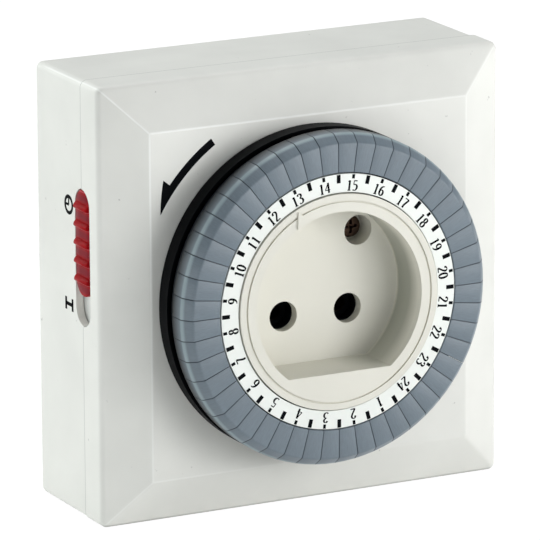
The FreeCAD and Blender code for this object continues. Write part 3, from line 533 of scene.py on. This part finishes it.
SIX = [
    (.42, .90), (.28, .87), (.13, .68), (.08, .40), (.11, .15), (.25, .03), (.38, .14), (.42, .31),
    (.36, .49), (.25, .55), (.12, .46),
]
DIGITS = {
    "0": [("pen", oval(.25, .5, .18, .46))],
    "1": [
        ("thick", [(.26, .03), (.26, .95)]),
        ("thin", [(.26, .95), (.12, .84)]),
        ("thin", [(.12, .03), (.40, .03)]),
    ],
    "2": [
        ("pen", [
            (.08, .72), (.13, .90), (.26, .96), (.39, .87), (.41, .70), (.31, .48), (.17, .26), (.06, .06),
        ]),
        ("bar", [(.05, .05), (.45, .05)]),
    ],
    "3": [
        ("pen", [(.08, .80), (.14, .93), (.26, .96), (.38, .86), (.36, .67), (.20, .54)]),
        ("pen", [(.20, .54), (.37, .47), (.43, .27), (.34, .08), (.18, .03), (.06, .12)]),
    ],
    "4": [
        ("thin", [(.34, .96), (.04, .32)]),
        ("thin", [(.03, .30), (.47, .30)]),
        ("thick", [(.34, .02), (.34, .97)]),
    ],
    "5": [
        ("bar", [(.12, .92), (.42, .92)]),
        ("thin", [(.13, .93), (.10, .57)]),
        ("pen", [(.10, .55), (.23, .60), (.38, .50), (.42, .30), (.33, .10), (.18, .03), (.05, .10)]),
    ],
    "6": [("pen", SIX)],
    "7": [
        ("bar", [(.05, .92), (.45, .92)]),
        ("pen", [(.43, .90), (.30, .55), (.22, .30), (.20, .02)]),
    ],
    "8": [("pen", oval(.25, .74, .135, .21)), ("pen", oval(.25, .27, .17, .25))],
    "9": [("pen", [(.5 - x, 1.0 - z) for x, z in SIX])],
}


def smooth_line(points, steps=6):
    """A curve through the points: each span is the usual cubic of its two ends and their neighbours."""
    knots = np.asarray(points, float)
    if len(knots) < 3:
        return knots
    ends = np.vstack([2 * knots[0] - knots[1], knots, 2 * knots[-1] - knots[-2]])
    a, b, c, d = ends[:-3, None], ends[1:-2, None], ends[2:-1, None], ends[3:, None]
    u = np.linspace(0, 1, steps, endpoint=False)[None, :, None]
    curve = 2 * b + (c - a) * u + (2 * a - 5 * b + 4 * c - d) * u ** 2 + (3 * b - a - 3 * c + d) * u ** 3
    return np.vstack([0.5 * curve.reshape(-1, 2), knots[-1]])


def pen_stroke(style, points):
    """Left and right edges of a stroke; a pen stroke is widest where it runs upright."""
    line = smooth_line(points)
    along = np.gradient(line, axis=0)
    along /= np.linalg.norm(along, axis=1)[:, None]
    sideways = np.column_stack([-along[:, 1], along[:, 0]])
    if style == "pen":
        width = PEN_THIN + (PEN_THICK - PEN_THIN) * np.abs(along[:, 1]) ** 1.5
    else:
        width = np.full(len(line), STROKE_WIDTHS[style])
    half = sideways * width[:, None] / 2
    return np.stack([line + half, line - half], axis=1)


def number_strips(number):
    """Strokes of a whole number, centred across, one high."""
    strips = []
    text = str(number)
    for place, digit in enumerate(text):
        shift = [(place - len(text) / 2) * DIGIT_ADVANCE, 0.0]
        for style, points in DIGITS[digit]:
            strips.append(pen_stroke(style, points) * [DIGIT_WIDTH, 1.0] + shift)
    return strips


def onto_dial(flat, angle, radius):
    """Move flat points (across, outwards) to an angle and radius of the dial: (X, Z) from its axis."""
    outwards = np.array([math.sin(angle), math.cos(angle)])
    clockwise = np.array([math.cos(angle), -math.sin(angle)])
    return flat[..., :1] * clockwise + (flat[..., 1:] + radius) * outwards


def box_strip(width, low, high):
    """A straight bar across zero, from low to high."""
    half = width / 2
    return np.array([[[-half, low], [half, low]], [[-half, high], [half, high]]])


# Settings a user would change

class TimerSettings(bpy.types.PropertyGroup):
    """Sizes and colours of the timer's prints and pieces"""
    number_height: bpy.props.FloatProperty(
        name="Number height",
        description="Height of the dial's numbers",
        default=2.88 * MM,
        unit="LENGTH",
    )
    print_thickness: bpy.props.FloatProperty(
        name="Print thickness",
        description="Thickness of the printed marks",
        default=0.03 * MM,
        unit="LENGTH",
    )
    edge_rounding: bpy.props.FloatProperty(
        name="Tappet edge rounding",
        description="Rounding between a tappet's slope and side",
        default=0.45 * MM,
        unit="LENGTH",
    )
    case_colour: bpy.props.FloatVectorProperty(
        name="Case colour",
        description="Off-white of the two case shells",
        size=4,
        subtype="COLOR",
        default=linear((232, 232, 226)),
    )
    insert_colour: bpy.props.FloatVectorProperty(
        name="Insert colour",
        description="Warm white of the socket insert",
        size=4,
        subtype="COLOR",
        default=linear((225, 223, 212)),
    )
    tappet_colour: bpy.props.FloatVectorProperty(
        name="Tappet colour",
        description="Blue-grey of the tappets",
        size=4,
        subtype="COLOR",
        default=linear((110, 122, 131)),
    )
    knob_colour: bpy.props.FloatVectorProperty(
        name="Knob colour",
        description="Red of the override slide",
        size=4,
        subtype="COLOR",
        default=linear((156, 10, 18)),
    )


def settings():
    """The timer's settings in this scene."""
    return bpy.context.scene.timer_settings


# Finishes by name, which the Finishes operator makes
FINISHES = {}

# The frame's pieces that each finish goes to
FINISH_PIECES = {
    "case": ("front_cover", "rear_housing"),
    "insert": ("socket_insert",),
    "tappet": tuple(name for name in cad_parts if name.startswith("tappets_hour_")),
    "black": ("dial_carrier",),
    "ring": ("number_ring",),
    "knob": ("slide_knob",),
    "slide": ("slide_base",),
    "acetal": ("dial_gear", "reduction_gear", "motor_pinion", "feeler_lever", "switch_plunger"),
    "chassis": ("chassis_plate", "pin_carrier", "slide_guide"),
    "switch": ("micro_switch",),
    "steel": ("insert_screw", "case_screws", "reduction_arbor", "motor_shaft", "feeler_pivot"),
    # the sleeves' brass is darkened: painted shade deep in the pin holes
    "dark_brass": ("contact_sleeve_left", "contact_sleeve_right"),
    "brass": ("neutral_strip", "live_strip_out", "live_strip_in", "motor_bush"),
    "pin": ("plug_pin_left", "plug_pin_right"),
    "can": ("motor_can",),
}


def dress(material, names):
    """Give CAD pieces a finish."""
    for name in names:
        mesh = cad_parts[name].data
        mesh.materials.clear()
        mesh.materials.append(material)


class TIMER_OT_finishes(bpy.types.Operator):
    """Make every finish and give it to the pieces that come from the frame"""
    bl_idname = "timer.finishes"
    bl_label = "Finishes"

    def execute(self, context):
        s = settings()
        FINISHES.update(
            case=moulded_plastic("case_plastic", tuple(s.case_colour), 0.42, specks=0.5, edges=FLAT_HALF),
            insert=insert_plastic("insert_plastic", tuple(s.insert_colour)),
            tappet=tappet_plastic("tappet_plastic", tuple(s.tappet_colour)),
            black=moulded_plastic("black_plastic", linear((7, 9, 12)), 0.5, gloss=0.05),
            ring=moulded_plastic("ring_plastic", linear((240, 243, 238)), 0.4, mottle=0.02),
            knob=knob_plastic("knob_plastic", tuple(s.knob_colour)),
            slide=moulded_plastic("slide_plastic", linear((226, 228, 224)), 0.4),
            acetal=moulded_plastic("gear_plastic", linear((226, 222, 205)), 0.35),
            chassis=moulded_plastic("chassis_plastic", linear((150, 152, 150)), 0.5),
            switch=moulded_plastic("switch_plastic", linear((40, 40, 42)), 0.45),
            ink=printed_ink("black_print", linear((9, 11, 14))),
            dark_steel=plated_metal("dark_screw_steel", linear((76, 60, 50)), 0.5),
            steel=plated_metal("screw_steel", linear((150, 150, 152)), 0.34),
            # darkened brass: painted shade deep in the pin holes
            dark_brass=plated_metal("sleeve_brass_in_painted_shade", linear((58, 48, 34)), 0.5),
            brass=plated_metal("contact_brass", linear((205, 170, 100)), 0.3),
            pin=plated_metal("pin_nickel", linear((205, 203, 198)), 0.22),
            can=plated_metal("motor_steel", linear((178, 180, 182)), 0.38),
        )
        for finish, names in FINISH_PIECES.items():
            dress(FINISHES[finish], names)
        return {"FINISHED"}


# Prints

# Ticks and numbers: each tick is its width and its length
TICK_OUTER = RING_RADIUS - 0.15 * MM
HOUR_TICK = (0.80 * MM, 1.15 * MM)
HALF_TICK = (1.10 * MM, 2.25 * MM)
NUMBER_BASE = RING_RADIUS - 4.55 * MM


def on_front(y):
    """Places flat points, given from the dial's axis, in front of a plane Y."""
    def placed(flat, height):
        return np.column_stack([flat[:, 0], np.full(len(flat), y - height), AXIS_Z + flat[:, 1]])
    return placed


def on_side(flat, height):
    """Place flat points (Y, Z) on the left side."""
    return np.column_stack([np.full(len(flat), SIDE_X - height), flat])


class TIMER_OT_numbers(bpy.types.Operator):
    """Print the hours and the ticks on the number ring"""
    bl_idname = "timer.numbers"
    bl_label = "Numbers"

    def execute(self, context):
        s = settings()
        strips = []
        for hour in range(1, HOURS + 1):
            angle = hour_angle(hour)
            for strip in number_strips(hour):
                strips.append(onto_dial(strip * s.number_height, angle, NUMBER_BASE))
            for turn, (width, length) in ((0.0, HOUR_TICK), (HOUR_ANGLE / 2, HALF_TICK)):
                bar = box_strip(width, TICK_OUTER - length, TICK_OUTER)
                strips.append(onto_dial(bar, angle + turn, 0.0))
        solids = print_solids(strips, on_front(RING_LOW.y))
        solid_piece("dial_numbers", solids, FINISHES["ink"], "dial")
        return {"FINISHED"}


# Turning arrow: its radii, and its angles from the top
ARROW_INNER = 50.3 * MM
ARROW_OUTER = 52.4 * MM
ARROW_BARB = 54.7 * MM
ARROW_POINT = 0.1 * MM
ARROW_START = math.radians(-33.5)
ARROW_NECK = math.radians(-51.5)
ARROW_TIP = math.radians(-60.2)
SHAFT_STEPS = 24
BARB_STEPS = 10


class TIMER_OT_arrow(bpy.types.Operator):
    """Print the turning arrow on the front cover"""
    bl_idname = "timer.arrow"
    bl_label = "Arrow"

    def execute(self, context):
        angles = np.concatenate([
            np.linspace(ARROW_START, ARROW_NECK, SHAFT_STEPS),
            np.linspace(ARROW_NECK, ARROW_TIP, BARB_STEPS),
        ])
        outer = np.concatenate([
            np.full(SHAFT_STEPS, ARROW_OUTER),
            np.linspace(ARROW_BARB, ARROW_INNER + ARROW_POINT, BARB_STEPS),
        ])
        edge = np.column_stack([np.sin(angles), np.cos(angles)])
        strip = np.stack([edge * outer[:, None], edge * ARROW_INNER], axis=1)
        solids = print_solids([strip], on_front(FRONT_Y))
        solid_piece("turning_arrow", solids, FINISHES["ink"], "case")
        return {"FINISHED"}


# Clock and on mark: places are depth and height, and each bar is its width and half its length
CLOCK_PLACE = (1.85 * MM, AXIS_Z + 24.3 * MM)
CLOCK_RADIUS = 2.2 * MM
CLOCK_LINE = 0.95 * MM
CLOCK_HAND = CLOCK_LINE * 0.7
CLOCK_POINTS = 33
ON_MARK_PLACE = (2.3 * MM, AXIS_Z - 2.7 * MM)
ON_MARK_STEM = (1.0 * MM, 2.5 * MM)
ON_MARK_SERIF = (1.05 * MM, 1.7 * MM)


class TIMER_OT_symbols(bpy.types.Operator):
    """Print the clock and the on mark beside the override slide"""
    bl_idname = "timer.symbols"
    bl_label = "Symbols"

    def execute(self, context):
        turn = np.linspace(0, 2 * np.pi, CLOCK_POINTS)
        ring = np.column_stack([np.sin(turn), np.cos(turn)])
        inner = CLOCK_RADIUS - CLOCK_LINE / 2
        outer = CLOCK_RADIUS + CLOCK_LINE / 2
        hand = box_strip(CLOCK_HAND, 0.0, inner)
        clock = [np.stack([ring * outer, ring * inner], axis=1), hand, hand[..., ::-1]]
        clock = [strip + CLOCK_PLACE for strip in clock]
        width, reach = ON_MARK_STEM
        stem = box_strip(width, -reach, reach)[..., ::-1]
        width, half = ON_MARK_SERIF
        serif = box_strip(width, -half, half)
        shift = [reach - width / 2, 0.0]
        on_mark = [strip + ON_MARK_PLACE for strip in (stem, serif + shift, serif - shift)]
        solids = print_solids(clock + on_mark, on_side)
        solid_piece("side_symbols", solids, FINISHES["ink"], "case")
        return {"FINISHED"}


# Tappets, drawn finer than in the frame

# Radii are from the dial's axis, and ends are in front of the case. A reach is how far from a corner
# its rounding starts, as a length or as a multiple of the rounding in the settings.
TAPPET_GAP = math.radians(0.11)
EDGE_SOFTNESS = 0.10 * MM
SOFT_SHARE = 0.3
HEAD_INNER = 34.6 * MM
HEAD_OUTER = 44.6 * MM
SLOPE_ACROSS = 2.2 * MM
SLOPE_DEPTH = 2.8 * MM
HEAD_END = 8.2 * MM
BODY_OUTER = 43.55 * MM
BODY_END = 5.6 * MM
INNER_REACH = 0.25 * MM
SLOPE_REACH = 0.5 * MM
SIDE_REACH = 0.2 * MM
ROUNDING_REACH = 1.6
TAIL_HALF = 1.2 * MM
TAIL_INNER = 36.45 * MM
TAIL_OUTER = 41.5 * MM
TAIL_ROOT = 0.4 * MM
TAPPET_MIDDLES = (0.5, 1.5)


def rounded_corner(before, corner, after, reach, steps=5):
    """Points that round a corner: a quadratic curve between points at a reach from it on both sides."""
    corner = np.asarray(corner, float)
    first = np.asarray(before, float) - corner
    last = np.asarray(after, float) - corner
    start = corner + first / np.linalg.norm(first) * reach
    end = corner + last / np.linalg.norm(last) * reach
    u = np.linspace(0, 1, steps)[:, None]
    return (1 - u) ** 2 * start + 2 * u * (1 - u) * corner + u ** 2 * end


def tappet_section(edge):
    """Closed outline of a tappet's head, as radius and distance in front of the case."""
    slope_start = (HEAD_OUTER - SLOPE_ACROSS, DIAL_FRONT)
    slope_end = (HEAD_OUTER, DIAL_FRONT - SLOPE_DEPTH)
    inner_front = (HEAD_INNER, DIAL_FRONT)
    inner_end = (HEAD_INNER, BODY_END)
    side_end = (HEAD_OUTER, HEAD_END)
    step = (BODY_OUTER, HEAD_END)
    return np.concatenate([
        rounded_corner(inner_end, inner_front, slope_start, INNER_REACH),
        rounded_corner(inner_front, slope_start, slope_end, SLOPE_REACH),
        rounded_corner(slope_start, slope_end, side_end, edge * ROUNDING_REACH),
        rounded_corner(slope_end, side_end, step, SIDE_REACH),
        [step, (BODY_OUTER, BODY_END), inner_end],
    ])


def shrunk(outline, amount):
    """The closed outline moved inwards along the average normal of each point's two edges."""
    ahead = np.roll(outline, -1, axis=0) - outline
    ahead /= np.linalg.norm(ahead, axis=1)[:, None]
    normal = np.column_stack([-ahead[:, 1], ahead[:, 0]])
    mean = normal + np.roll(normal, 1, axis=0)
    mean /= np.linalg.norm(mean, axis=1)[:, None]
    return outline - mean * amount


def tappet_head(section, angle):
    """A tappet's head: its section at several angles, smaller at the two ends."""
    half = (TAPPET_ANGLE - TAPPET_GAP) / 2
    soft = EDGE_SOFTNESS / HEAD_OUTER
    ends = [(-half, 1.0), (-half + soft * SOFT_SHARE, SOFT_SHARE), (-half + soft, 0.0)]
    stations = ends + [(0.0, 0.0)] + [(-turn, share) for turn, share in reversed(ends)]
    loops = []
    for turn, share in stations:
        radius, front = shrunk(section, EDGE_SOFTNESS * share).T
        around = angle + turn
        loops.append(np.column_stack([
            radius * math.sin(around), FRONT_Y - front, AXIS_Z + radius * math.cos(around),
        ]))
    return np.stack(loops)


def tappet_tail(angle, end):
    """The flat tail of a tappet, from inside its head to its rear end."""
    flat = np.array([
        [-TAIL_HALF, TAIL_INNER],
        [TAIL_HALF, TAIL_INNER],
        [TAIL_HALF, TAIL_OUTER],
        [-TAIL_HALF, TAIL_OUTER],
    ])
    across, up = onto_dial(flat, angle, 0.0).T
    start = FRONT_Y - BODY_END - TAIL_ROOT
    return np.stack([np.column_stack([across, np.full(4, y), AXIS_Z + up]) for y in (start, end)])


class TIMER_OT_tappets(bpy.types.Operator):
    """Draw the tappets with rounded edges, two to each hour"""
    bl_idname = "timer.tappets"
    bl_label = "Tappets"

    def execute(self, context):
        section = tappet_section(settings().edge_rounding)
        for hour in range(1, HOURS + 1):
            name = f"tappets_hour_{hour:02d}"
            solids = []
            for middle in TAPPET_MIDDLES:
                angle = hour_angle(hour) + middle * TAPPET_ANGLE
                solids += [tappet_head(section, angle), tappet_tail(angle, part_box(name)[1].y)]
            piece = solid_piece(f"fine_{name}", solids, FINISHES["tappet"], name)
            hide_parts(name)
        return {"FINISHED"}


# Screws, and the black liners that paint shade into the pin holes, as rings of a radius and a distance
# along their axis

SCREW_RADIUS = 3.0 * MM
SHANK_RADIUS = 1.5 * MM
HEAD_HEIGHT = 2.4 * MM
HEAD_RINGS = (
    (SCREW_RADIUS * 0.75, 0.0),
    (SCREW_RADIUS * 0.95, 0.2 * MM),
    (SCREW_RADIUS, 0.6 * MM),
    (SCREW_RADIUS, HEAD_HEIGHT),
    (SHANK_RADIUS, HEAD_HEIGHT),
)
CROSS_HALF = 0.45 * MM
CROSS_REACH = 1.9 * MM
CROSS_DEPTH = 1.3 * MM
SMALLEST = 1e-6
CROSS_RINGS = ((0.1, CROSS_DEPTH), (0.8, CROSS_DEPTH * 0.8), (1.0, 0.05 * MM))
# The liners are black tubes that paint the shade deep in the pin holes
LINER_RADIUS = 4.03 * MM
LINER_BORE = 2.5 * MM
LINER_DEPTH = 3.6 * MM
LINER_WALL = 0.3 * MM
LINER_RINGS = (
    (LINER_RADIUS - LINER_WALL, 0.0),
    (LINER_RADIUS, 0.0),
    (LINER_RADIUS, LINER_DEPTH),
    (LINER_BORE, LINER_DEPTH),
    (LINER_BORE, LINER_DEPTH - LINER_WALL),
    (LINER_RADIUS - LINER_WALL, LINER_DEPTH - LINER_WALL),
)


def screw(x, z, top, end):
    """A screw whose head has a cross recess.

    The recess's radius at an angle is that of two crossed bars: each bar is met at half its width
    over the sine, or at its end over the cosine, whichever comes first.
    """
    angle = np.linspace(0, 2 * np.pi, TURNED_COLUMNS, endpoint=False)
    cosine = np.maximum(np.abs(np.cos(angle)), SMALLEST)
    sine = np.maximum(np.abs(np.sin(angle)), SMALLEST)
    level = np.minimum(CROSS_REACH / cosine, CROSS_HALF / sine)
    upright = np.minimum(CROSS_REACH / sine, CROSS_HALF / cosine)
    cross = np.maximum(level, upright)
    recess = [(cross * share, distance) for share, distance in CROSS_RINGS]
    rings = [*recess, *HEAD_RINGS, (SHANK_RADIUS, abs(end - top))]
    return turned(rings, x, z, top, math.copysign(1.0, end - top))


def middle_of(low, high):
    """Where a box's middle is, across and up."""
    return (low.x + high.x) / 2, (low.z + high.z) / 2


class TIMER_OT_screws(bpy.types.Operator):
    """Draw the screws with their cross recesses, and black liners as painted shade in the two pin holes"""
    bl_idname = "timer.screws"
    bl_label = "Screws"

    def execute(self, context):
        low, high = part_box("insert_screw")
        inner = screw(*middle_of(low, high), low.y, high.y)
        piece = solid_piece("fine_insert_screw", [inner], FINISHES["dark_steel"], "case")
        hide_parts("insert_screw")
        low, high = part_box("case_screws")
        solids = [
            screw(x, z, high.y, low.y)
            for x in (low.x + SCREW_RADIUS, high.x - SCREW_RADIUS)
            for z in (low.z + SCREW_RADIUS, high.z - SCREW_RADIUS)
        ]
        piece = solid_piece("fine_case_screws", solids, FINISHES["steel"], "case")
        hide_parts("case_screws")
        # black liners in the pin holes: painted shade deep inside them
        liners = []
        for name in ("contact_sleeve_left", "contact_sleeve_right"):
            low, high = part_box(name)
            liners.append(turned(LINER_RINGS, *middle_of(low, high), low.y - LINER_DEPTH, 1.0))
        solid_piece("painted_shade_hole_liners", liners, FINISHES["black"], "case", faced=tubes)
        return {"FINISHED"}


# The override slide's knob

KNOB_FACE = HOUSING_LOW.x - 0.1 * MM
KNOB_SOFTNESS = 0.35 * MM
KNOB_CROWN = 0.04 * MM
KNOB_CROWN_SHARE = 0.6
KNOB_COLUMNS = 64
RIB_COUNT = 5
RIB_NEAR = 0.5 * MM
RIB_FAR = 0.3 * MM
RIB_SECTION = np.array([
    (-0.4, 1.30), (0.0, 1.20), (0.45, 0.95), (0.82, 0.52), (0.98, 0.05), (0.95, -0.32), (0.68, -0.60),
    (0.22, -0.74), (-0.4, -0.78),
]) * MM
RIB_STATIONS = ((0.0, 0.45), (0.18 * MM, 0.82), (0.5 * MM, 1.0))


def knob_body(low, high):
    """The slide's knob: a bar with round ends, a softened face and a slight crown.

    Each loop has a half circle at both ends of the bar, made smaller by an inset.
    """
    half = (high.y - low.y) / 2
    middle = (high.y + low.y) / 2
    straight = (high.z - low.z) / 2 - half
    turn = np.linspace(0, 2 * np.pi, KNOB_COLUMNS, endpoint=False)
    shift = np.where(np.cos(turn) > 0, straight, -straight) + (high.z + low.z) / 2
    insets = (
        (high.x, 0.0),
        (KNOB_FACE + KNOB_SOFTNESS, 0.0),
        (KNOB_FACE + KNOB_SOFTNESS * SOFT_SHARE, KNOB_SOFTNESS * SOFT_SHARE),
        (KNOB_FACE, KNOB_SOFTNESS),
        (KNOB_FACE - KNOB_CROWN, half * KNOB_CROWN_SHARE),
    )
    loops = []
    for x, inset in insets:
        radius = half - inset
        across = middle + radius * np.sin(turn)
        loops.append(np.column_stack([np.full(KNOB_COLUMNS, x), across, shift + radius * np.cos(turn)]))
    return np.stack(loops)


def knob_rib(low, high, z):
    """One rib across the knob, which shrinks at its two ends."""
    near = [(low.y + RIB_NEAR + away, share) for away, share in RIB_STATIONS]
    far = [(high.y - RIB_FAR - away, share) for away, share in reversed(RIB_STATIONS)]
    out, up = RIB_SECTION.T
    return np.stack([
        np.column_stack([KNOB_FACE - out * share, np.full(len(out), y), z + up * share])
        for y, share in near + far
    ])


class TIMER_OT_knob(bpy.types.Operator):
    """Draw the override slide's knob with its softened edges and ribs"""
    bl_idname = "timer.knob"
    bl_label = "Knob"

    def execute(self, context):
        low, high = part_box("slide_knob")
        ribs = [knob_rib(low, high, high.z - RIB_FIRST - index * RIB_PITCH) for index in range(RIB_COUNT)]
        solids = [knob_body(low, high), *ribs]
        piece = solid_piece("fine_slide_knob", solids, FINISHES["knob"], "side_switch")
        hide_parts("slide_knob")
        return {"FINISHED"}


# Stage

WHITE = (1.0, 1.0, 1.0, 1.0)
CAMERA_AZIMUTH = math.radians(-26.9675)
CAMERA_ELEVATION = math.radians(14.5665)
CAMERA_ROLL = math.radians(-0.311)
CAMERA_DISTANCE = 1.5603
CAMERA_AIM = Vector((-12.0 * MM, FRONT_Y, AXIS_Z + 6.42 * MM))
CAMERA_LENS = 396.96
CAMERA_SENSOR = 36.0
CAMERA_REACH = 20.0
WORLD_COLOUR = (0.93, 0.97, 1.0, 1.0)
WORLD_LIGHT = 0.325
FLOOR_REACH = 6.0
FLOOR_TINT = (0.96, 0.96, 0.96, 1.0)
FLOOR_GLOW = 1.1
FLOOR_GLOW_SHARE = 0.88

# Each lamp's name, place, size in metres, power in watts and colour
LAMPS = (
    ("key", (0.75, -0.85, 0.28), 0.42, 2.4, (1.0, 1.0, 1.0)),
    ("rear", (-0.80, 0.85, 0.62), 0.9, 8.0, (0.95, 1.0, 0.98)),
    ("top", (0.1, 0.5, 1.3), 0.8, 8.0, (1.0, 1.0, 1.0)),
    ("left", (-0.8, -0.12, 0.05), 0.3, 0.95, (0.97, 1.0, 0.99)),
    ("low", (0.28, -0.45, 0.04), 0.4, 1.7, (1.0, 1.0, 1.0)),
    ("right", (0.55, -0.25, 0.05), 0.3, 0.25, (1.0, 1.0, 1.0)),
)


def look_matrix(place, back, roll=0.0):
    """A camera or lamp matrix: its back axis is given, and it is turned by a roll."""
    right = Vector((0, 0, 1)).cross(back).normalized()
    up = back.cross(right)
    turned_right = right * math.cos(roll) + up * math.sin(roll)
    turned_up = up * math.cos(roll) - right * math.sin(roll)
    matrix = Matrix((turned_right, turned_up, back)).transposed().to_4x4()
    matrix.translation = place
    return matrix


def make_camera():
    """A long lens, turned by azimuth and elevation about a point left of and above the dial's middle."""
    data = bpy.data.cameras.new("camera")
    data.sensor_width = CAMERA_SENSOR
    data.lens = CAMERA_LENS
    data.clip_end = CAMERA_REACH
    camera = bpy.data.objects.new("camera", data)
    bpy.context.scene.collection.objects.link(camera)
    back = Vector((
        math.sin(CAMERA_AZIMUTH) * math.cos(CAMERA_ELEVATION),
        -math.cos(CAMERA_AZIMUTH) * math.cos(CAMERA_ELEVATION),
        math.sin(CAMERA_ELEVATION),
    ))
    camera.matrix_world = look_matrix(CAMERA_AIM + back * CAMERA_DISTANCE, back, CAMERA_ROLL)
    bpy.context.scene.camera = camera


def make_lamp(name, place, size, power, colour):
    """A square soft lamp aimed at the dial."""
    data = bpy.data.lights.new(name, "AREA")
    data.size = size
    data.energy = power
    data.color = colour
    lamp = bpy.data.objects.new(name, data)
    bpy.context.scene.collection.objects.link(lamp)
    aim = Vector((0.0, 0.0, AXIS_Z))
    lamp.matrix_world = look_matrix(Vector(place), (Vector(place) - aim).normalized())


def background_rays(tree):
    """One where a ray comes from the camera or through gloss or glass."""
    camera = tree.node("ShaderNodeLightPath", {}, [], "Is Camera Ray")
    gloss = tree.node("ShaderNodeLightPath", {}, [], "Is Glossy Ray")
    glass = tree.node("ShaderNodeLightPath", {}, [], "Is Transmission Ray")
    return camera.math("MAXIMUM", gloss).math("MAXIMUM", glass)


def make_floor():
    """A white floor that keeps the shadow: part of its white is its own where the camera sees it."""
    tree = Tree("studio_floor")
    tint = tree.blend(tree.noise(9.0), FLOOR_TINT, WHITE)
    diffuse = tree.node("ShaderNodeBsdfDiffuse", {}, [tint])
    glow = tree.node("ShaderNodeEmission", {}, [WHITE, FLOOR_GLOW])
    mixed = tree.node("ShaderNodeMixShader", {}, [background_rays(tree) * FLOOR_GLOW_SHARE, diffuse, glow])
    tree.links.new(mixed.socket, tree.output.inputs["Surface"])
    corners = [
        (-FLOOR_REACH, -FLOOR_REACH, 0.0),
        (FLOOR_REACH, -FLOOR_REACH, 0.0),
        (FLOOR_REACH, FLOOR_REACH, 0.0),
        (-FLOOR_REACH, FLOOR_REACH, 0.0),
    ]
    mesh = bpy.data.meshes.new("floor")
    mesh.from_pydata(corners, [], [(0, 1, 2, 3)])
    mesh.materials.append(tree.material)
    floor = bpy.data.objects.new("floor", mesh)
    bpy.context.scene.collection.objects.link(floor)


def make_world():
    """Even pale light, and plain white where the camera looks past the floor."""
    world = bpy.data.worlds.new("studio")
    world.use_nodes = True
    nodes = world.node_tree.nodes
    links = world.node_tree.links
    nodes.clear()
    output = nodes.new("ShaderNodeOutputWorld")
    light = nodes.new("ShaderNodeBackground")
    light.inputs["Color"].default_value = WORLD_COLOUR
    light.inputs["Strength"].default_value = WORLD_LIGHT
    white = nodes.new("ShaderNodeBackground")
    white.inputs["Color"].default_value = WHITE
    mix = nodes.new("ShaderNodeMixShader")
    path = nodes.new("ShaderNodeLightPath")
    links.new(path.outputs["Is Camera Ray"], mix.inputs[0])
    links.new(light.outputs[0], mix.inputs[1])
    links.new(white.outputs[0], mix.inputs[2])
    links.new(mix.outputs[0], output.inputs[0])
    bpy.context.scene.world = world


class TIMER_OT_stage(bpy.types.Operator):
    """Set up the camera, the floor and the soft studio light"""
    bl_idname = "timer.stage"
    bl_label = "Stage"

    def execute(self, context):
        context.scene.view_settings.view_transform = "Standard"
        make_camera()
        make_floor()
        make_world()
        for lamp in LAMPS:
            make_lamp(*lamp)
        return {"FINISHED"}


class TIMER_PT_panel(bpy.types.Panel):
    """The steps that dress the timer"""
    bl_idname = "TIMER_PT_panel"
    bl_label = "Timer"
    bl_space_type = "VIEW_3D"
    bl_region_type = "UI"
    bl_category = "Timer"

    def draw(self, context):
        for name in TimerSettings.__annotations__:
            self.layout.prop(context.scene.timer_settings, name)
        for step in STEPS:
            self.layout.operator(step.bl_idname)


STEPS = [
    TIMER_OT_stage,
    TIMER_OT_finishes,
    TIMER_OT_tappets,
    TIMER_OT_screws,
    TIMER_OT_knob,
    TIMER_OT_numbers,
    TIMER_OT_arrow,
    TIMER_OT_symbols,
]
CLASSES = [TimerSettings, *STEPS, TIMER_PT_panel]


def register():
    """Add the timer's classes and its settings to Blender."""
    for item in CLASSES:
        bpy.utils.register_class(item)
    bpy.types.Scene.timer_settings = bpy.props.PointerProperty(type=TimerSettings)


def unregister():
    """Take the settings and the classes away again."""
    del bpy.types.Scene.timer_settings
    for item in reversed(CLASSES):
        bpy.utils.unregister_class(item)


def main():
    """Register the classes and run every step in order."""
    register()
    for step in STEPS:
        group, name = step.bl_idname.split(".")
        getattr(getattr(bpy.ops, group), name)()


if __name__ == "__main__":
    main()
